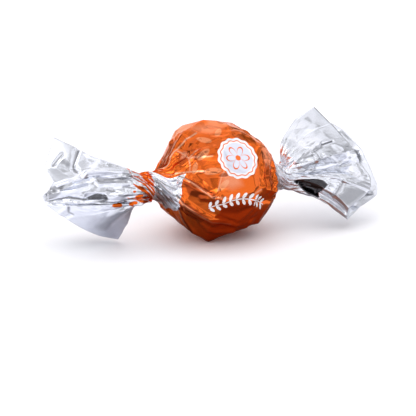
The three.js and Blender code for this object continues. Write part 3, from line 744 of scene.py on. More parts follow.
def in_field(corners, around, place):
    """How far inside a field the places lie, in millimetres of the flat sheet."""
    corners = np.array(corners, float) * (SHEET_ROUND / FULL_TURN, 1.0)
    middle = corners[:, 0].mean()
    spots = np.stack([middle + short_way(around * SHEET_ROUND, middle, SHEET_ROUND), place], axis=1)
    following = np.roll(corners, -1, axis=0)
    turned = np.sign(np.sum(corners[:, 0] * following[:, 1] - corners[:, 1] * following[:, 0]))
    inside = np.full(len(around), np.inf)
    for corner, edge in zip(corners, following - corners):
        across = np.array([-edge[1], edge[0]]) * turned / np.hypot(*edge)
        inside = np.minimum(inside, (spots - corner) @ across)
    return inside


def marks(fields, lines, form, around, place):
    """How strongly each place is marked by fields and by lines: 0 is not at all."""
    strength = np.zeros(len(around))
    for corners, most, softness in fields:
        inside = np.clip(in_field(corners, around, place) / softness, 0, 1)
        strength = np.maximum(strength, most * inside)
    for places, most, reach in lines:
        near, nearest = away_from(places, form, around)
        covered = np.clip(LINE_CORE * (1 - nearest / reach), 0, 1)
        strength[near] = np.maximum(strength[near], most * covered)
    return strength


# %% [markdown]
# ## All fine folds together
#
# The foil is stretched tight over the ball, very crumpled in the necks, and in the tails as crumpled as
# the corners of the rim say. That strength scales the nets of facets. The fine pleats start a little
# before each neck, at uneven places, and fade out in the tail. Each kind of fold only adds its height,
# so any of them can be left out to see what it does.

# %% How crumpled the foil is
CRUMPLED = {"ball": 0.05, "neck": 0.90}
NEAR_LEFT_NECK = (16, 20)             # mm left of the ball's middle, from tight to crumpled
TAIL_START = 0.3                      # share of a tail over which the rim's own crumpling sets in


def crumpling(around, place):
    """How crumpled the foil is: 0 is smooth."""
    tight, neck = CRUMPLED["ball"], CRUMPLED["neck"]
    strength = tight + (neck - tight) * smooth(-place, *NEAR_LEFT_NECK)
    for end in (LEFT, RIGHT):
        side, root = end["side"], NECK_LENGTH[end["side"]]
        beyond = side * place - BALL_REACH
        _, at = at_rim(end, around, ["crumpled"])
        on_tail = smooth(beyond, root, root + TAIL_LENGTH[side] * TAIL_START)
        strength = np.where(beyond > 0, neck + (at[:, 0] - neck) * on_tail, strength)
    return strength


# %% The pleats of a neck, and the rumples of a tail
FINE_PLEATS = [(23, 0.34, 5), (41, 0.16, 9)]              # count, depth, seed
PLEATS_SET_IN, PLEATS_RUN_OUT = (-6, 3), (0, 9)           # mm beyond the ball's edge, the tail's root
PLEATS_UNEVEN, UNEVEN_STARTS = 2.5, (17, 1)
TAIL_RUMPLE, TAIL_CELLS = 0.25, (16, 5)
RUMPLED_FROM, RUMPLED_TO = (0, 0.3), (0.75, 1)            # shares of the tail


def end_folds(end, around, place):
    """The height of the fine pleats and the rumples at one end of the sheet."""
    side, root = end["side"], NECK_LENGTH[end["side"]]
    beyond = side * place - BALL_REACH
    shifted = beyond + PLEATS_UNEVEN * crumple(around, 0.5, UNEVEN_STARTS, end["seed"])
    gathered = smooth(shifted, *PLEATS_SET_IN) * (1 - smooth(shifted - root, *PLEATS_RUN_OUT))
    height = np.zeros(len(around))
    for count, depth, seed in FINE_PLEATS:
        height += depth * gathered * (pleats(around, count, seed) - 0.5)
    along = np.clip((beyond - root) / TAIL_LENGTH[side], 0, 1)
    fade = smooth(along, *RUMPLED_FROM) * (1 - smooth(along, *RUMPLED_TO))
    return height + TAIL_RUMPLE * fade * crumple(around, along, TAIL_CELLS, end["seed"])


# %% All fine folds
NETS = [(COARSE_NET, 0.42), (FINE_NET, 0.20)]             # with their heights where all is crumpled


def fine_height(form, around, place):
    """The height of all fine folds over the form, in millimetres."""
    strength = crumpling(around, place)
    height = np.zeros(len(around))
    for net, rise in NETS:
        height += rise * strength * facet_height(net, around, place)
    height += crease_height(around, place) + lap_height(around)
    height += named_folds(form, around) + pocket(around, place)
    points = on_sphere(2 * np.pi * around, np.pi / 2 + place / BALL_RADIUS)
    height += np.where(np.abs(place) < BALL_REACH, strongest(FINE_CREASES, points), 0)
    for end in (LEFT, RIGHT):
        height += end_folds(end, around, place)
    return height


print("crumpled from", CRUMPLED["ball"], "on the ball to", CRUMPLED["neck"], "in the necks")


# %% [markdown]
# ## Laying the sheet
#
# Each piece of foil is one flat grid with its own UV map. Its points are moved to the form, and then
# pushed out or in along the form's own normal by the height of the fine folds. The grid's two long
# edges meet and are merged, so the sheet closes round the praline. The wrapper is laid in three
# lengths that meet at the waists of the two necks, where the gathers hide the joint.

# %% Steps of the grid, and where the lengths of foil meet
ROUND_STEPS = 384
WAIST_SHARE = 0.72                    # of a neck's length, where two lengths of foil meet
SHEET_START = BALL_REACH + NECK_LENGTH[-1] + TAIL_LENGTH[-1]
SHEET_LENGTH = SHEET_START + BALL_REACH + NECK_LENGTH[1] + TAIL_LENGTH[1]


def waist_place(side):
    return side * (BALL_REACH + WAIST_SHARE * NECK_LENGTH[side])


def spaced(stops):
    """Rows along the sheet: a list of (place, steps to the next place)."""
    rows = [np.linspace(a, b, steps, endpoint=False) for (a, steps), (b, _) in zip(stops, stops[1:])]
    return np.concatenate([*rows, [stops[-1][0]]])


print(f"one step round the ball is {SHEET_ROUND / ROUND_STEPS:.2f} mm")


# %% From a flat grid to folded foil
def folded(around, place):
    """Points of the foil for each row (place) and column (around)."""
    grid_place, grid_around = np.meshgrid(place, around, indexing="ij")
    flat = grid_around.ravel(), grid_place.ravel()
    form = wrapper_point(*flat).reshape(*grid_place.shape, 3)
    along = np.gradient(form, axis=0)
    across = np.roll(form[:, :-1], -1, axis=1) - np.roll(form[:, :-1], 1, axis=1)
    across = np.concatenate([across, across[:, :1]], axis=1)
    normal = np.cross(along, across)
    normal /= np.maximum(np.linalg.norm(normal, axis=2, keepdims=True), TINY)
    height = fine_height(form.reshape(-1, 3), *flat).reshape(grid_place.shape)
    points = form + normal * height[..., None]
    points[..., 2] = np.maximum(points[..., 2], 0)
    return points


def values_of(items, name, width, kind=np.float32):
    """One value of all points, corners or faces of a mesh, as rows of an array."""
    found = np.zeros(width * len(items), kind)
    items.foreach_get(name, found)
    return found.reshape(-1, width)


def foil_length(name, stops):
    """One length of foil as a tube of quads with an open seam, and the UV map 'sheet'."""
    place = spaced(stops)
    around = np.linspace(0, 1, ROUND_STEPS + 1)
    points = folded(around, place)
    bm = bmesh.new()
    bm.loops.layers.uv.new("sheet")
    bmesh.ops.create_grid(bm, x_segments=ROUND_STEPS, y_segments=len(place) - 1, size=1, calc_uvs=True)
    mesh = bpy.data.meshes.new(name)
    bm.to_mesh(mesh)
    bm.free()
    flat, last_row = values_of(mesh.vertices, "co", 3), len(place) - 1      # from -1 to 1 both ways
    column = np.rint((flat[:, 0] + 1) / 2 * ROUND_STEPS).astype(int)
    row = np.rint((flat[:, 1] + 1) / 2 * last_row).astype(int)
    mesh.vertices.foreach_set("co", (points[row, column] * MM).astype(np.float32).ravel())
    sheet = mesh.uv_layers["sheet"].uv
    uv = values_of(sheet, "vector", 2)
    along = np.interp(uv[:, 1] * last_row, np.arange(len(place)), place)
    uv[:, 1] = (along + SHEET_START) / SHEET_LENGTH
    sheet.foreach_set("vector", uv.ravel())
    return mesh, around[column], place[row]


# %% [markdown]
# ## Where the print ends
#
# The orange lacquer covers the ball and stops in the necks. In the gathered left neck its edge comes and
# goes with the pleats, so it looks like stripes, and a wedge of bare foil reaches out over the ball. To
# draw such an edge sharply, every point of the mesh carries its distance from the edge as an attribute:
# more than zero is inside the print. A material then only has to ask on which side of zero a place lies.

# %% Where the print ends, where it is left out, and its stray spots
PRINT_ENDS = {-1: 9.2, 1: 0.6}        # beyond the ball's edge, into each neck
STRIPES_SHIFT, STRIPES_FROM, STRIPES_OVER = 8.0, 18.0, 3.0    # of the print's left edge, in mm
STRIPE_PLEATS, STRIPE_MIDDLE = ((17, 1.0, 5), (41, 0.4, 3)), 0.7      # count, share, seed
STRIPE_TWIST = 0.012                  # turns for each millimetre
BARE_FIELDS = [                       # bare from the place in the neck to the line over the ball
    (
        -21.5,
        ((-105, -17.6), (-87, -16.4), (-39, -14.8), (-3, -14.3), (16, -14.4), (27, -13.2), (36, -12.1)),
    ),
    (-20.5, ((150, -12.6), (178, -14.4))),
]
SPOTS = [                             # orange spots on the left tail: turn, place, radius
    (200, -32.3, 0.70), (202, -31.3, 0.75), (203, -27.8, 0.75), (206, -26.9, 0.65), (246, -26.5, 0.60),
    (250, -25.7, 0.60), (262, -27.5, 0.35),
]
SPOT_SHAPE, FAR_OUTSIDE = (0.8, 1, 1.25), -9
print(len(BARE_FIELDS), "bare fields and", len(SPOTS), "spots")


# %% Distance to the edge of the print
def left_edge_shift(around, place):
    """The gathered foil shows the print's left edge as stripes that run with the twist."""
    twisted = around + STRIPE_TWIST * place
    stripes = sum(share * pleats(twisted, count, seed) for count, share, seed in STRIPE_PLEATS)
    return STRIPES_SHIFT * np.clip((-place - STRIPES_FROM) / STRIPES_OVER, 0, 1) * (stripes - STRIPE_MIDDLE)


def outside_field(start, line, around, place):
    """How far outside a bare field the places lie, in millimetres of gathered foil."""
    turns, places = np.array(line, float).T
    middle, half = (turns[0] + turns[-1]) / 2, (turns[-1] - turns[0]) / 2
    off = short_way(around * FULL_TURN, middle, FULL_TURN)
    limit = np.interp(off + middle, turns, places)
    beside = (np.abs(off) - half) / FULL_TURN * SHEET_ROUND * gathered_width(place, least=0.3)
    return np.maximum(beside, np.maximum(place - limit, start - place))


def print_distance(around, place, points):
    """How far inside the print each point lies, in millimetres. Less than zero is bare foil."""
    left = place + BALL_REACH + PRINT_ENDS[-1] + left_edge_shift(around, place)
    distance = np.minimum(left, BALL_REACH + PRINT_ENDS[1] - place)
    for start, line in BARE_FIELDS:
        distance = np.minimum(distance, outside_field(start, line, around, place))
    for turn, spot_place, radius in SPOTS:
        centre = wrapper_point(np.array([turn / FULL_TURN]), np.array([spot_place]))[0]
        inside = radius - np.linalg.norm((points - centre) * SPOT_SHAPE, axis=1)
        this_side = np.abs(around * FULL_TURN - turn) < FULL_TURN / 4
        distance = np.maximum(distance, np.where(this_side, inside, FAR_OUTSIDE))
    return distance


# %% [markdown]
# ## Three lengths of foil
#
# Every point carries four values for the materials: how far inside the print it lies, how crumpled the
# foil is, and how strongly it takes painted shade and painted highlights. The seam of each tube is merged.
# The ball's length is closed with small caps inside the necks, where nothing shows. The tails stay open
# at the rim, as the real sheet is.

# %% Finish a length of foil: values, seam and caps
SEAM_GAP = 0.01 * MM


def add_values(mesh, name, values):
    attribute = mesh.attributes.new(name, "FLOAT", "POINT")
    attribute.data.foreach_set("value", values.astype(np.float32))


def closed_piece(mesh, capped):
    """Merges the tube's seam, closes its ends with small caps if asked, and turns all faces out."""
    bm = bmesh.new()
    bm.from_mesh(mesh)
    seam = [v for v in bm.verts if v.is_boundary]
    bmesh.ops.remove_doubles(bm, verts=seam, dist=SEAM_GAP)
    if capped:
        bmesh.ops.holes_fill(bm, edges=[e for e in bm.edges if e.is_boundary], sides=0)
    bmesh.ops.recalc_face_normals(bm, faces=bm.faces)
    for face in bm.faces:
        face.smooth = True
    bm.to_mesh(mesh)
    bm.free()


def foil_piece(name, stops, capped):
    mesh, around, place = foil_length(name, stops)
    points, form = values_of(mesh.vertices, "co", 3) / MM, wrapper_point(around, place)
    add_values(mesh, "print_distance", print_distance(around, place, points))
    add_values(mesh, "crumpled", crumpling(around, place))
    # Painted shade, and painted highlights and reflections, as two attributes
    add_values(mesh, "shade", marks(SHADED_FIELDS, SHADED_LINES, form, around, place))
    add_values(mesh, "glint", marks(PALE_FIELDS, GLINTS, form, around, place))
    closed_piece(mesh, capped)
    piece = bpy.data.objects.new(name, mesh)
    bpy.context.scene.collection.objects.link(piece)
    print(f"{name}: {len(mesh.vertices)} points, {len(mesh.polygons)} faces")
    return piece


# %% Make the three lengths: places along the sheet, with the steps to the next place
left_waist, right_waist = waist_place(-1), waist_place(1)
left_root, right_root = -BALL_REACH - NECK_LENGTH[-1], BALL_REACH + NECK_LENGTH[1]
left_rim, right_rim = left_root - TAIL_LENGTH[-1], right_root + TAIL_LENGTH[1]
ball_foil = foil_piece(
    "ball_foil", [(left_waist, 36), (-BALL_REACH, 150), (BALL_REACH, 30), (right_waist, 0)], capped=True
)
left_tail = foil_piece(
    "left_tail", [(left_rim, 84), (left_root, 16), (left_waist, 0)], capped=False
)
right_tail = foil_piece(
    "right_tail", [(right_waist, 12), (right_root, 84), (right_rim, 0)], capped=False
)

# %% [markdown]
# ## Thickness of the tails
#
# The tails are open at the rim, and their inside shows. Real foil of this kind is a few hundredths of
# a millimetre thick; a little more keeps the two sides apart here. A Solidify modifier gives the sheet a
# second side and a rim. It grows inwards, so that the outside stays where it is.

# %% Thicken the tails
FOIL_THICKNESS = 0.07
for tail in (left_tail, right_tail):
    thick = tail.modifiers.new("thickness", "SOLIDIFY")
    thick.thickness = FOIL_THICKNESS * MM
    thick.offset = -1
    thick.use_rim = True
print(f"{left_tail.name} and {right_tail.name} are {FOIL_THICKNESS} mm thick")

# %% [markdown]
# ## The print on the ball
#
# The wrapper carries a round badge with a flower, a branch with leaves below it, and a few pale petals.
# They are drawn with a little geometry in the material, from a second UV map whose origin is the middle
# of the badge and whose unit is a millimetre, as if the print were a flat label laid on the ball. The
# same print comes twice round the praline, once in front and once at the back, and each face of the
# mesh belongs to the print that it is nearer to.

# %% A UV map for the print
BADGE = (41.0, 100.0)                 # degrees up from the front and from the left pole
PRINT_TURNS = (0.0, 180.0)


def from_middle(items, name):
    """The directions in which a mesh's points or faces lie, seen from the middle of the ball."""
    away = values_of(items, name, 3) / MM - (0, 0, BALL_HEIGHT)
    return away / np.linalg.norm(away, axis=1, keepdims=True)


def laid_flat(corners, outward):
    """Places of a label whose middle lies outward: x to the right, y up, as far as along the ball."""
    right = np.array([1.0, 0, 0]) - outward * outward[0]
    right /= np.linalg.norm(right)
    flat = np.stack([corners @ right, corners @ np.cross(outward, right)], axis=1)
    flat /= np.maximum(np.linalg.norm(flat, axis=1, keepdims=True), TINY)
    return flat * (np.arccos(np.clip(corners @ outward, -1, 1)) * BALL_RADIUS)[:, None]


def print_map(piece):
    mesh = piece.data
    vertex = values_of(mesh.loops, "vertex_index", 1, np.int32)[:, 0]
    corners, faces = from_middle(mesh.vertices, "co")[vertex], from_middle(mesh.polygons, "center")
    corners_of_face = [len(face.vertices) for face in mesh.polygons]
    nearest, found = np.full(len(faces), -np.inf), np.zeros((len(corners), 2))
    for further in PRINT_TURNS:
        outward = on_sphere(math.radians(BADGE[0] + further), math.radians(BADGE[1])) / BALL_RADIUS
        near = faces @ outward
        mine = np.repeat(near > nearest, corners_of_face)
        found[mine] = laid_flat(corners[mine], outward)
        nearest = np.maximum(nearest, near)
    mesh.uv_layers.new(name="print").uv.foreach_set("vector", found.astype(np.float32).ravel())
    print(f"print laid on {len(faces)} faces, {len(PRINT_TURNS)} times round")


print_map(ball_foil)

# %% [markdown]
# ## Materials
#
# Node trees are easier to read as sums. The little class below writes them so: a value knows its
# socket, and +, -, * and the named functions each add one Math node.


# %% Sums that become nodes
COLOURS_IN, COLOUR_OUT = (6, 7), 2    # the colour sockets of a Mix node


class Sum:
    """A number in a node tree. Sums of it add Math nodes."""

    def __init__(self, tree, socket):
        self.tree, self.socket = tree, socket

    def math(self, operation, *others):
        node = self.tree.nodes.new("ShaderNodeMath")
        node.operation = operation
        for slot, value in zip(node.inputs, (self, *others)):
            if isinstance(value, Sum):
                self.tree.links.new(value.socket, slot)
            else:
                slot.default_value = value
        return Sum(self.tree, node.outputs[0])

    def __add__(self, other):
        return self.math("ADD", other)

    def __sub__(self, other):
        return self.math("SUBTRACT", other)

    def __mul__(self, other):
        return self.math("MULTIPLY", other)

    def __truediv__(self, other):
        return self.math("DIVIDE", other)

    def abs(self):
        return self.math("ABSOLUTE")

    def inside(self, limit, blur=0.06):
        """1 where the number is under the limit, 0 over it, with a narrow blur between."""
        node = self.tree.nodes.new("ShaderNodeMapRange")
        self.tree.links.new(self.socket, node.inputs["Value"])
        node.inputs["From Min"].default_value = limit - blur / 2
        node.inputs["From Max"].default_value = limit + blur / 2
        node.inputs["To Min"].default_value = 1
        node.inputs["To Max"].default_value = 0
        return Sum(self.tree, node.outputs["Result"])


def distance_from(x, y, spot=(0, 0)):
    """How far the place (x, y) lies from a spot."""
    dx, dy = x - spot[0], y - spot[1]
    return (dx * dx + dy * dy).math("SQRT")


def mixed(tree, mask, first, second):
    """Colour first where the mask is 0 and second where it is 1."""
    node = tree.nodes.new("ShaderNodeMix")
    node.data_type = "RGBA"
    tree.links.new(mask.socket, node.inputs["Factor"])
    for index, value in zip(COLOURS_IN, (first, second)):
        if isinstance(value, tuple):
            node.inputs[index].default_value = (*value, 1)
        else:
            tree.links.new(value, node.inputs[index])
    return node.outputs[COLOUR_OUT]


def coordinates(tree, output, axes):
    """The coordinates of a place as sums. The output is that of a UV map or of texture coordinates."""
    split = tree.nodes.new("ShaderNodeSeparateXYZ")
    tree.links.new(output, split.inputs["Vector"])
    return [Sum(tree, split.outputs[axis]) for axis in axes]


# %% [markdown]
# ### Fine crinkles, shared by both foils
#
# The smallest wrinkles of handled foil are too fine for the mesh. They are a height made from a soft
# noise and a little of a cell pattern. More of the cells would look like scales. Both foils use it
# through one node group with its own sockets, so it is made once.

# %% The crinkle group
CRINKLE_CELLS, CRINKLE_GRAIN, GRAIN_DETAIL = 800, 260, 3      # the first two are counts in a metre
CELL_SHARE = 0.1
LEAST_ROUGHNESS, GRAIN_ROUGHNESS = 0.07, 0.12


def crinkle_group():
    tree = bpy.data.node_groups.new("foil_crinkle", "ShaderNodeTree")
    tree.interface.new_socket("Strength", in_out="INPUT", socket_type="NodeSocketFloat")
    tree.interface.new_socket("Height", in_out="OUTPUT", socket_type="NodeSocketFloat")
    tree.interface.new_socket("Roughness", in_out="OUTPUT", socket_type="NodeSocketFloat")
    given = tree.nodes.new("NodeGroupInput")
    made = tree.nodes.new("NodeGroupOutput")
    where = tree.nodes.new("ShaderNodeTexCoord")
    cells = tree.nodes.new("ShaderNodeTexVoronoi")
    cells.inputs["Scale"].default_value = CRINKLE_CELLS
    tree.links.new(where.outputs["Object"], cells.inputs["Vector"])
    grain = tree.nodes.new("ShaderNodeTexNoise")
    grain.inputs["Scale"].default_value = CRINKLE_GRAIN
    grain.inputs["Detail"].default_value = GRAIN_DETAIL
    tree.links.new(where.outputs["Object"], grain.inputs["Vector"])
    soft = Sum(tree, grain.outputs["Fac"])
    strength = Sum(tree, given.outputs["Strength"])
    height = (Sum(tree, cells.outputs["Distance"]) * CELL_SHARE + soft) * strength
    tree.links.new(height.socket, made.inputs["Height"])
    tree.links.new((soft * GRAIN_ROUGHNESS + LEAST_ROUGHNESS).socket, made.inputs["Roughness"])
    return tree


CRINKLE = crinkle_group()
print(f"{CRINKLE.name}: {len(CRINKLE.nodes)} nodes")


# %% [markdown]
# ### Bare foil and printed foil
#
# Bare foil is plain metal: bright, a little blue, and nearly a mirror. Printed foil is the same metal
# under a clear orange lacquer, so it is a metal with an orange colour and a thin clear coat on top,
# whose reflections stay white. A painted orange surface would lose the deep reds in the folds. The white
# ink is opaque, and hardly a metal at all.

# %% Colours of foil and ink
SILVER = (0.90, 0.92, 0.97)
ORANGE = (0.84, 0.142, 0.012)
PALE_ORANGE = (0.97, 0.42, 0.20)
# The orange lacquer in painted shade, for folds and dark facets
ORANGE_IN_PAINTED_SHADE = (0.20, 0.014, 0.002)
# The pale orange of painted highlights on ridges and of painted reflections
PAINTED_HIGHLIGHT_ORANGE = (0.99, 0.62, 0.42)
FOLD_SHADE = (0.022, 0.018, 0.020)
WHITE_INK = (0.88, 0.88, 0.90)
BADGE_GREY = (0.70, 0.73, 0.83)
BUMP_DEPTH = 0.04 * MM
PRINT_BLUR = 0.1                      # mm over which the edge of the print changes


# %% Foil with its crinkles
def attribute_value(tree, name):
    attribute = tree.nodes.new("ShaderNodeAttribute")
    attribute.attribute_name = name
    return Sum(tree, attribute.outputs["Fac"])


def foil_material(name, crinkle, evenly, satin):
    """Foil with crinkles. Evenly is the share of them that smooth foil has too, satin how dull it is."""
    material = bpy.data.materials.new(name)
    material.use_nodes = True
    tree = material.node_tree
    shader = tree.nodes["Principled BSDF"]
    shader.inputs["Metallic"].default_value = 1
    group = tree.nodes.new("ShaderNodeGroup")
    group.node_tree = CRINKLE
    crumpled = attribute_value(tree, "crumpled") * ((1 - evenly) * crinkle) + evenly * crinkle
    tree.links.new(crumpled.socket, group.inputs["Strength"])
    bump = tree.nodes.new("ShaderNodeBump")
    bump.inputs["Strength"].default_value = 1
    bump.inputs["Distance"].default_value = BUMP_DEPTH
    tree.links.new(group.outputs["Height"], bump.inputs["Height"])
    tree.links.new(bump.outputs["Normal"], shader.inputs["Normal"])
    tree.links.new((Sum(tree, group.outputs["Roughness"]) + satin).socket, shader.inputs["Roughness"])
    return material, tree, shader


# %% [markdown]
# ### The bare foil of the tails
#
# The tails are bare, but for a few orange spots and stripes where the print runs on into the left neck.
# So the tails take silver outside the print and orange inside it, and the painted shade goes over both.

# %% The bare foil
def beyond_print(tree):
    """1 on bare foil, 0 in the print."""
    return attribute_value(tree, "print_distance").inside(0, PRINT_BLUR)


bare_foil, tree, shader = foil_material("bare_foil", crinkle=1.1, evenly=0.15, satin=0.09)
colour = mixed(tree, beyond_print(tree), ORANGE, SILVER)
# Painted shade darkens the foil where the shade attribute says
colour = mixed(tree, attribute_value(tree, "shade"), colour, FOLD_SHADE)
tree.links.new(colour, shader.inputs["Base Color"])
for tail in (left_tail, right_tail):
    tail.data.materials.append(bare_foil)
print(f"{bare_foil.name}: {len(tree.nodes)} nodes")

# %% [markdown]
# ### The printed foil of the ball
#
# The clear coat's own reflection is weak and soft. The metal under it turns pale and pinkish where it is
# seen at a slant, and Specular Tint gives that. The print is drawn in polar coordinates round the badge,
# since a badge and a flower are simplest as distances and angles.

# %% The printed foil, and where its print is drawn
COAT = {"Coat Weight": 0.3, "Coat IOR": 1.42, "Coat Roughness": 0.10}
SLANT_TINT = (0.97, 0.62, 0.45)
printed_foil, tree, shader = foil_material("printed_foil", crinkle=1.0, evenly=0.04, satin=0.03)
for socket, value in COAT.items():
    shader.inputs[socket].default_value = value
shader.inputs["Specular Tint"].default_value = (*SLANT_TINT, 1)
layer = tree.nodes.new("ShaderNodeUVMap")
layer.uv_map = "print"
x, y = coordinates(tree, layer.outputs["UV"], "XY")
from_badge = distance_from(x, y)
angle = y.math("ARCTAN2", x)
print("the print is drawn from the UV map", layer.uv_map)

# %% [markdown]
# ### The badge
#
# The badge is a white disc with a scalloped edge, a thin ring that follows the scallops, a grey field and
# the outline of a flower. Each is one distance that is compared with one limit. The cosine of a multiple
# of the angle makes the scallops, and its absolute value makes the petals of the flower.

# %% The round badge with its flower, in mm
BADGE_RADIUS, SCALLOPS, SCALLOP_DEPTH = 5.4, 14, 0.14
RING_INSET, RING_HALF, FIELD_INSET = 0.75, 0.13, 1.25
PETAL_PAIRS, PETAL_LENGTH, PETAL_START, PETAL_ROUNDNESS = 3, 2.9, 0.35, 0.6
PETAL_LINE, FLOWER_LIMIT, HEART_RADIUS = 0.20, 3.7, 0.75
edge = from_badge - (angle * SCALLOPS).math("COSINE") * SCALLOP_DEPTH
white = edge.inside(BADGE_RADIUS)
ring = (edge - (BADGE_RADIUS - RING_INSET)).abs().inside(RING_HALF)
field = from_badge.inside(BADGE_RADIUS - FIELD_INSET)
rounded = (angle * PETAL_PAIRS).math("COSINE").abs().math("POWER", PETAL_ROUNDNESS)
outline = from_badge - (rounded * PETAL_LENGTH + PETAL_START)
flower = outline.abs().inside(PETAL_LINE) * from_badge.inside(FLOWER_LIMIT)
heart = from_badge.inside(HEART_RADIUS)
print(f"badge {2 * BADGE_RADIUS:.1f} mm across, flower of {2 * PETAL_PAIRS} petals")

# %% [markdown]
# ### The branch
#
# The branch is a thin arc below the badge. Along it the place is cut into equal cells, and each cell
# holds one leaf on either side, an ellipse that leans forward. One formula so draws all leaves.

# %% A branch with leaves on both sides, below the badge, in mm and radians
BRANCH_MIDDLE, BRANCH_RADIUS, BRANCH_SPREAD, BRANCH_TURN = (0.5, -34.0), 23.5, 0.40, 0.03
LEAF_STEP, LEAF_LENGTH, LEAF_WIDTH, LEAF_OFF = 1.9, 0.857, 0.42, 0.85
LEAF_FORWARD, LEAF_OUTWARD = 0.62, 0.78                   # how a leaf leans
STEM_HALF, LEAF_BLUR, END_BLUR = 0.12, 0.25, 0.01
branch_x, branch_y = x - BRANCH_MIDDLE[0], y - BRANCH_MIDDLE[1]
off = branch_x.math("ARCTAN2", branch_y) + BRANCH_TURN
out = distance_from(branch_x, branch_y) - BRANCH_RADIUS
cell = ((off * (BRANCH_RADIUS / LEAF_STEP)).math("FRACT") - 0.5) * LEAF_STEP
side = out.abs() - LEAF_OFF
lengthwise = (cell * LEAF_FORWARD + side * LEAF_OUTWARD) / LEAF_LENGTH
crosswise = (cell * LEAF_OUTWARD - side * LEAF_FORWARD) / LEAF_WIDTH
leaf = (lengthwise * lengthwise + crosswise * crosswise).inside(1, LEAF_BLUR)
stem = out.abs().inside(STEM_HALF)
branch = leaf.math("MAXIMUM", stem) * off.abs().inside(BRANCH_SPREAD, END_BLUR)
print(f"branch {2 * BRANCH_SPREAD * BRANCH_RADIUS:.0f} mm long")

# %% [markdown]
# ### The petals
#
# Round the badge lie single petals of thin pale ink, through which the foil still shows. They are few
# and lie loosely, so they are a list: middle, half length, half width, and tilt in radians.

# %% Pale petals round the badge
PETALS = [
    (-8.6, 2.6, 2.0, 0.85, 0.5), (-7.4, -2.6, 2.2, 0.9, -0.1), (-11.6, -0.4, 1.7, 0.7, 1.2),
    (-2.4, 8.8, 1.9, 0.8, 0.9), (-7.0, 7.4, 2.1, 0.9, -0.7), (7.2, 6.6, 1.8, 0.8, -0.9),
    (-5.0, -6.6, 1.8, 0.8, 0.6),
]
PETAL_BLUR = 0.15
petals = x * 0
for at_x, at_y, half_length, half_width, tilt in PETALS:
    off_x, off_y = x - at_x, y - at_y
    lengthwise = (off_x * math.cos(tilt) + off_y * math.sin(tilt)) / half_length
    crosswise = (off_y * math.cos(tilt) - off_x * math.sin(tilt)) / half_width
    petals = petals.math("MAXIMUM", distance_from(lengthwise, crosswise).inside(1, PETAL_BLUR))
print(len(PETALS), "petals")

# %% [markdown]
# ### The colours in order
#
# A press lays one ink over another, and the node tree does the same: foil and lacquer with their painted
# shade, then thin ink, painted highlights and reflections, and the opaque inks on top. Each step covers
# the one before it where its mask is 1. The opaque ink also takes away most of the metal's shine.

# %% The colours, from the foil up
PETAL_INK, INK_SHINE = 0.5, 0.2
INKS = [
    (white, WHITE_INK), (ring, ORANGE), (field, BADGE_GREY), (flower, ORANGE), (heart, ORANGE),
    (branch, WHITE_INK),
]
# Painted shade darkens the lacquer and the bare foil
shaded = attribute_value(tree, "shade")
inked = mixed(tree, shaded, ORANGE, ORANGE_IN_PAINTED_SHADE)
bare = mixed(tree, shaded, SILVER, FOLD_SHADE)
colour = mixed(tree, beyond_print(tree), inked, bare)
colour = mixed(tree, petals * PETAL_INK, colour, PALE_ORANGE)
# Painted highlights on ridges and painted reflections make the lacquer pale where the glint attribute says
colour = mixed(tree, attribute_value(tree, "glint"), colour, PAINTED_HIGHLIGHT_ORANGE)
for mask, ink in INKS:
    colour = mixed(tree, mask, colour, ink)
opaque = white.math("MAXIMUM", branch)
tree.links.new((opaque * (INK_SHINE - 1) + 1).socket, shader.inputs["Metallic"])
tree.links.new(colour, shader.inputs["Base Color"])
ball_foil.data.materials.append(printed_foil)
print(f"{printed_foil.name}: {len(tree.nodes)} nodes")

# %% [markdown]
# ## Studio
#
# The camera stands to the left and looks down a little. A long lens from far away keeps the two tails at
# the same scale, as in a product photograph. The lens is worked out from the width of the picture.

# %% Camera
AZIMUTH, ELEVATION = math.radians(-21), math.radians(20)
BACK = Vector((
    math.sin(AZIMUTH) * math.cos(ELEVATION),
    -math.cos(AZIMUTH) * math.cos(ELEVATION),
    math.sin(ELEVATION),
))
AIM = Vector((-2.26, -1.70, 7.32)) * MM
FRAME_WIDTH, CAMERA_DISTANCE, SENSOR = 104.0 * MM, 4.0, 36.0
camera = bpy.data.objects.new("camera", bpy.data.cameras.new("camera"))
camera.data.sensor_width = SENSOR
camera.data.lens = SENSOR * CAMERA_DISTANCE / FRAME_WIDTH
camera.location = AIM + BACK * CAMERA_DISTANCE
camera.rotation_euler = BACK.to_track_quat("Z", "Y").to_euler()
bpy.context.scene.collection.objects.link(camera)
bpy.context.scene.camera = camera
print(f"camera: {camera.data.lens:.0f} mm lens, {CAMERA_DISTANCE:.1f} m away")

# %% [markdown]
# ### The floor
#
# The floor is plain and pale. Foil is a mirror, though, and the underside of the ball would show so much
# of a pale floor that it looked flat. Light Path tells mirror rays from the camera's, so the foil sees
# the floor darker close to the ball, in rings that fade to the pale colour outside.

# %% Floor
FLOOR_SIZE, FLOOR_ROUGHNESS = 4.0, 0.9
PALE_FLOOR = (0.93, 0.93, 0.94)
DARK_MIDDLE = (0.008, -0.020)         # the foil sees the floor darkest under the front of the ball
REFLECTED = [                         # how far from there, and what the foil sees of the floor
    (0.014, (0.26, 0.12, 0.09)),
    (0.026, (0.21, 0.205, 0.21)),
    (0.038, (0.45, 0.46, 0.52)),
    (0.048, (0.78, 0.79, 0.85)),
    (0.080, (0.92, 0.92, 0.96)),
]
bm = bmesh.new()
bmesh.ops.create_grid(bm, x_segments=1, y_segments=1, size=FLOOR_SIZE / 2)
floor_mesh = bpy.data.meshes.new("floor")
bm.to_mesh(floor_mesh)
bm.free()
floor = bpy.data.objects.new("floor", floor_mesh)
bpy.context.scene.collection.objects.link(floor)
pale = bpy.data.materials.new("pale_floor")
pale.use_nodes = True
tree = pale.node_tree
shader = tree.nodes["Principled BSDF"]
shader.inputs["Roughness"].default_value = FLOOR_ROUGHNESS
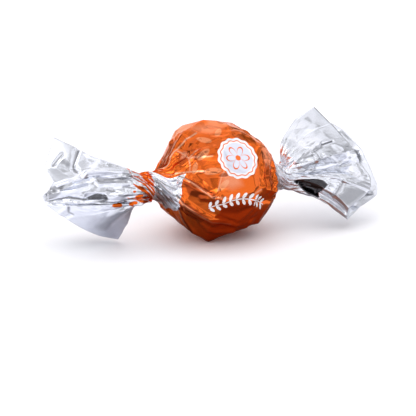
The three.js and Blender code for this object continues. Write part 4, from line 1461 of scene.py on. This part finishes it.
path = tree.nodes.new("ShaderNodeLightPath")
where = tree.nodes.new("ShaderNodeTexCoord")
x, y = coordinates(tree, where.outputs["Object"], "XY")
reach = REFLECTED[-1][0]
ramp = tree.nodes.new("ShaderNodeValToRGB")
tree.links.new((distance_from(x, y, DARK_MIDDLE) / reach).socket, ramp.inputs["Fac"])
while len(ramp.color_ramp.elements) < len(REFLECTED):
    ramp.color_ramp.elements.new(position=0.5)
for stop, (far, colour) in zip(ramp.color_ramp.elements, REFLECTED):
    stop.position = far / reach
    stop.color = (*colour, 1)
tint = mixed(tree, Sum(tree, path.outputs["Is Glossy Ray"]), PALE_FLOOR, ramp.outputs["Color"])
tree.links.new(tint, shader.inputs["Base Color"])
floor.data.materials.append(pale)
floor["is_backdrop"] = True
print(f"floor {FLOOR_SIZE} m across, darker to the foil within {reach / MM:.0f} mm")

# %% [markdown]
# ### The tent
#
# Foil shows what is round it. A product photograph of foil is taken in a white tent, with dark and bright
# cards round the object: the tent makes the foil bright, and the cards draw the edges of its facets. Real
# cards would be more objects. Here they are fields on the world itself, each given by where it stands and
# how bright it is, and laid one over the other in this order.

# %% Cards: azimuth, half width, lowest and highest elevation in degrees, radiance
CARDS = [
    (-103, 24, 56, 84, 0.66),
    (-28, 7, -10, 24, 0.50),
    (-2, 10, 42, 58, 0.55),
    (46, 7, 0, 48, 0.50),
    (-70, 5, 8, 60, 0.50),
    (96, 7, -10, 60, 0.50),
    (-75, 3, -10, 60, 0.05),
    (-40, 2, -10, 50, 0.08),
    (-12, 3, -10, 40, 0.05),
    (12, 2, 20, 60, 0.10),
    (34, 3, 15, 60, 0.06),
    (58, 2, -10, 35, 0.08),
    (82, 5, -10, 70, 0.05),
    (112, 2, -10, 60, 0.15),
    (135, 3, -10, 40, 0.08),
    (-105, 2, -10, 60, 0.10),
    (-150, 5, -10, 50, 0.08),
    (-35, 6, 64, 82, 0.20),
    (55, 8, 60, 82, 0.15),
    (150, 6, 60, 80, 0.50),
    (-54, 9, 22, 55, 1.70),
    (-95, 6, 5, 40, 1.45),
    (22, 6, 30, 70, 1.60),
    (68, 6, 25, 60, 1.40),
    (165, 8, -5, 50, 1.30),
]
print(sum(card[-1] < 1 for card in CARDS), "dark cards and", sum(card[-1] > 1 for card in CARDS), "bright")

# %% The tent: brighter on the camera's left and at its top
DARKER_SIDE, BRIGHTER_SIDE, TOP = (0.92, 0.92, 0.96), (1.04, 1.04, 1.08), (1.15, 1.13, 1.17)
KEY_AZIMUTH, SIDE_LIMIT, SIDE_BLUR = math.radians(-45), 0.05, 1.1
TOP_FROM, TOP_BLUR = 68, 30                               # degrees up
CARD_SIDE_BLUR, CARD_END_BLUR, CARD_BLUE = 3, 6, 1.05
world = bpy.data.worlds.new("white_tent")
bpy.context.scene.world = world
world.use_nodes = True
tree = world.node_tree
background = tree.nodes["Background"]
where = tree.nodes.new("ShaderNodeTexCoord")
x, y, z = coordinates(tree, where.outputs["Generated"], "XYZ")
azimuth = x.math("ARCTAN2", y * -1) * math.degrees(1)
elevation = z.math("ARCSINE") * math.degrees(1)
towards_key = x * math.sin(KEY_AZIMUTH) - y * math.cos(KEY_AZIMUTH)
tent = mixed(tree, towards_key.inside(SIDE_LIMIT, SIDE_BLUR), BRIGHTER_SIDE, DARKER_SIDE)
tent = mixed(tree, elevation.inside(TOP_FROM, TOP_BLUR), TOP, tent)
for at, half, low, high, radiance in CARDS:
    turned = (azimuth + (1.5 * FULL_TURN - at)).math("MODULO", FULL_TURN)
    beside = (turned - FULL_TURN / 2).abs().inside(half, CARD_SIDE_BLUR)
    above = (elevation - (low + high) / 2).abs().inside((high - low) / 2, CARD_END_BLUR)
    tent = mixed(tree, beside * above, tent, (radiance, radiance, radiance * CARD_BLUE))
tree.links.new(tent, background.inputs["Color"])
print(f"{world.name}: {len(tree.nodes)} nodes")

# %% [markdown]
# ### The lights
#
# The tent alone gives almost no shadow. A wide soft light from above sets the praline on the floor, and
# it is hidden from mirror rays, or the foil would show a white square. A smaller one from the front left
# is seen in the foil as its highlights.

# %% Soft lights: name, place, size, power, seen in the foil
LIGHTS = [
    ("floor_soft", (0.0, 0.05, 0.70), 1.0, 3.2, False),
    ("left_soft", (-0.45, -0.35, 0.40), 0.30, 0.35, True),
]
for name, place, size, power, seen in LIGHTS:
    light = bpy.data.objects.new(name, bpy.data.lights.new(name, "AREA"))
    light.data.shape = "SQUARE"
    light.data.size = size
    light.data.energy = power
    light.location = place
    light.rotation_euler = Vector(place).to_track_quat("Z", "Y").to_euler()
    light.visible_glossy = seen
    bpy.context.scene.collection.objects.link(light)
    print(f"{name}: {size / MM:.0f} mm, {power} W")
bpy.context.scene.view_settings.view_transform = "Standard"

# %% [markdown]
# ## Into the frame
#
# Each length of foil moves with the praline's only body, and the solid wrapper is hidden, so the foil
# takes its place. The size of the whole is then measured again, beside the solid's.

# %% Ride, replace, measure
for piece, slot in ((ball_foil, "printed_foil"), (left_tail, "bare_foil"), (right_tail, "bare_foil")):
    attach(piece, "root")
    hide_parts("foil_wrapper")

size = {
    name: [list(corner) for corner in box]
    for name, box in (("solid", solid_box), ("visual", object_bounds()))
}
print("visual model, in mm:", [round(c / MM, 1) for corner in size["visual"] for c in corner])
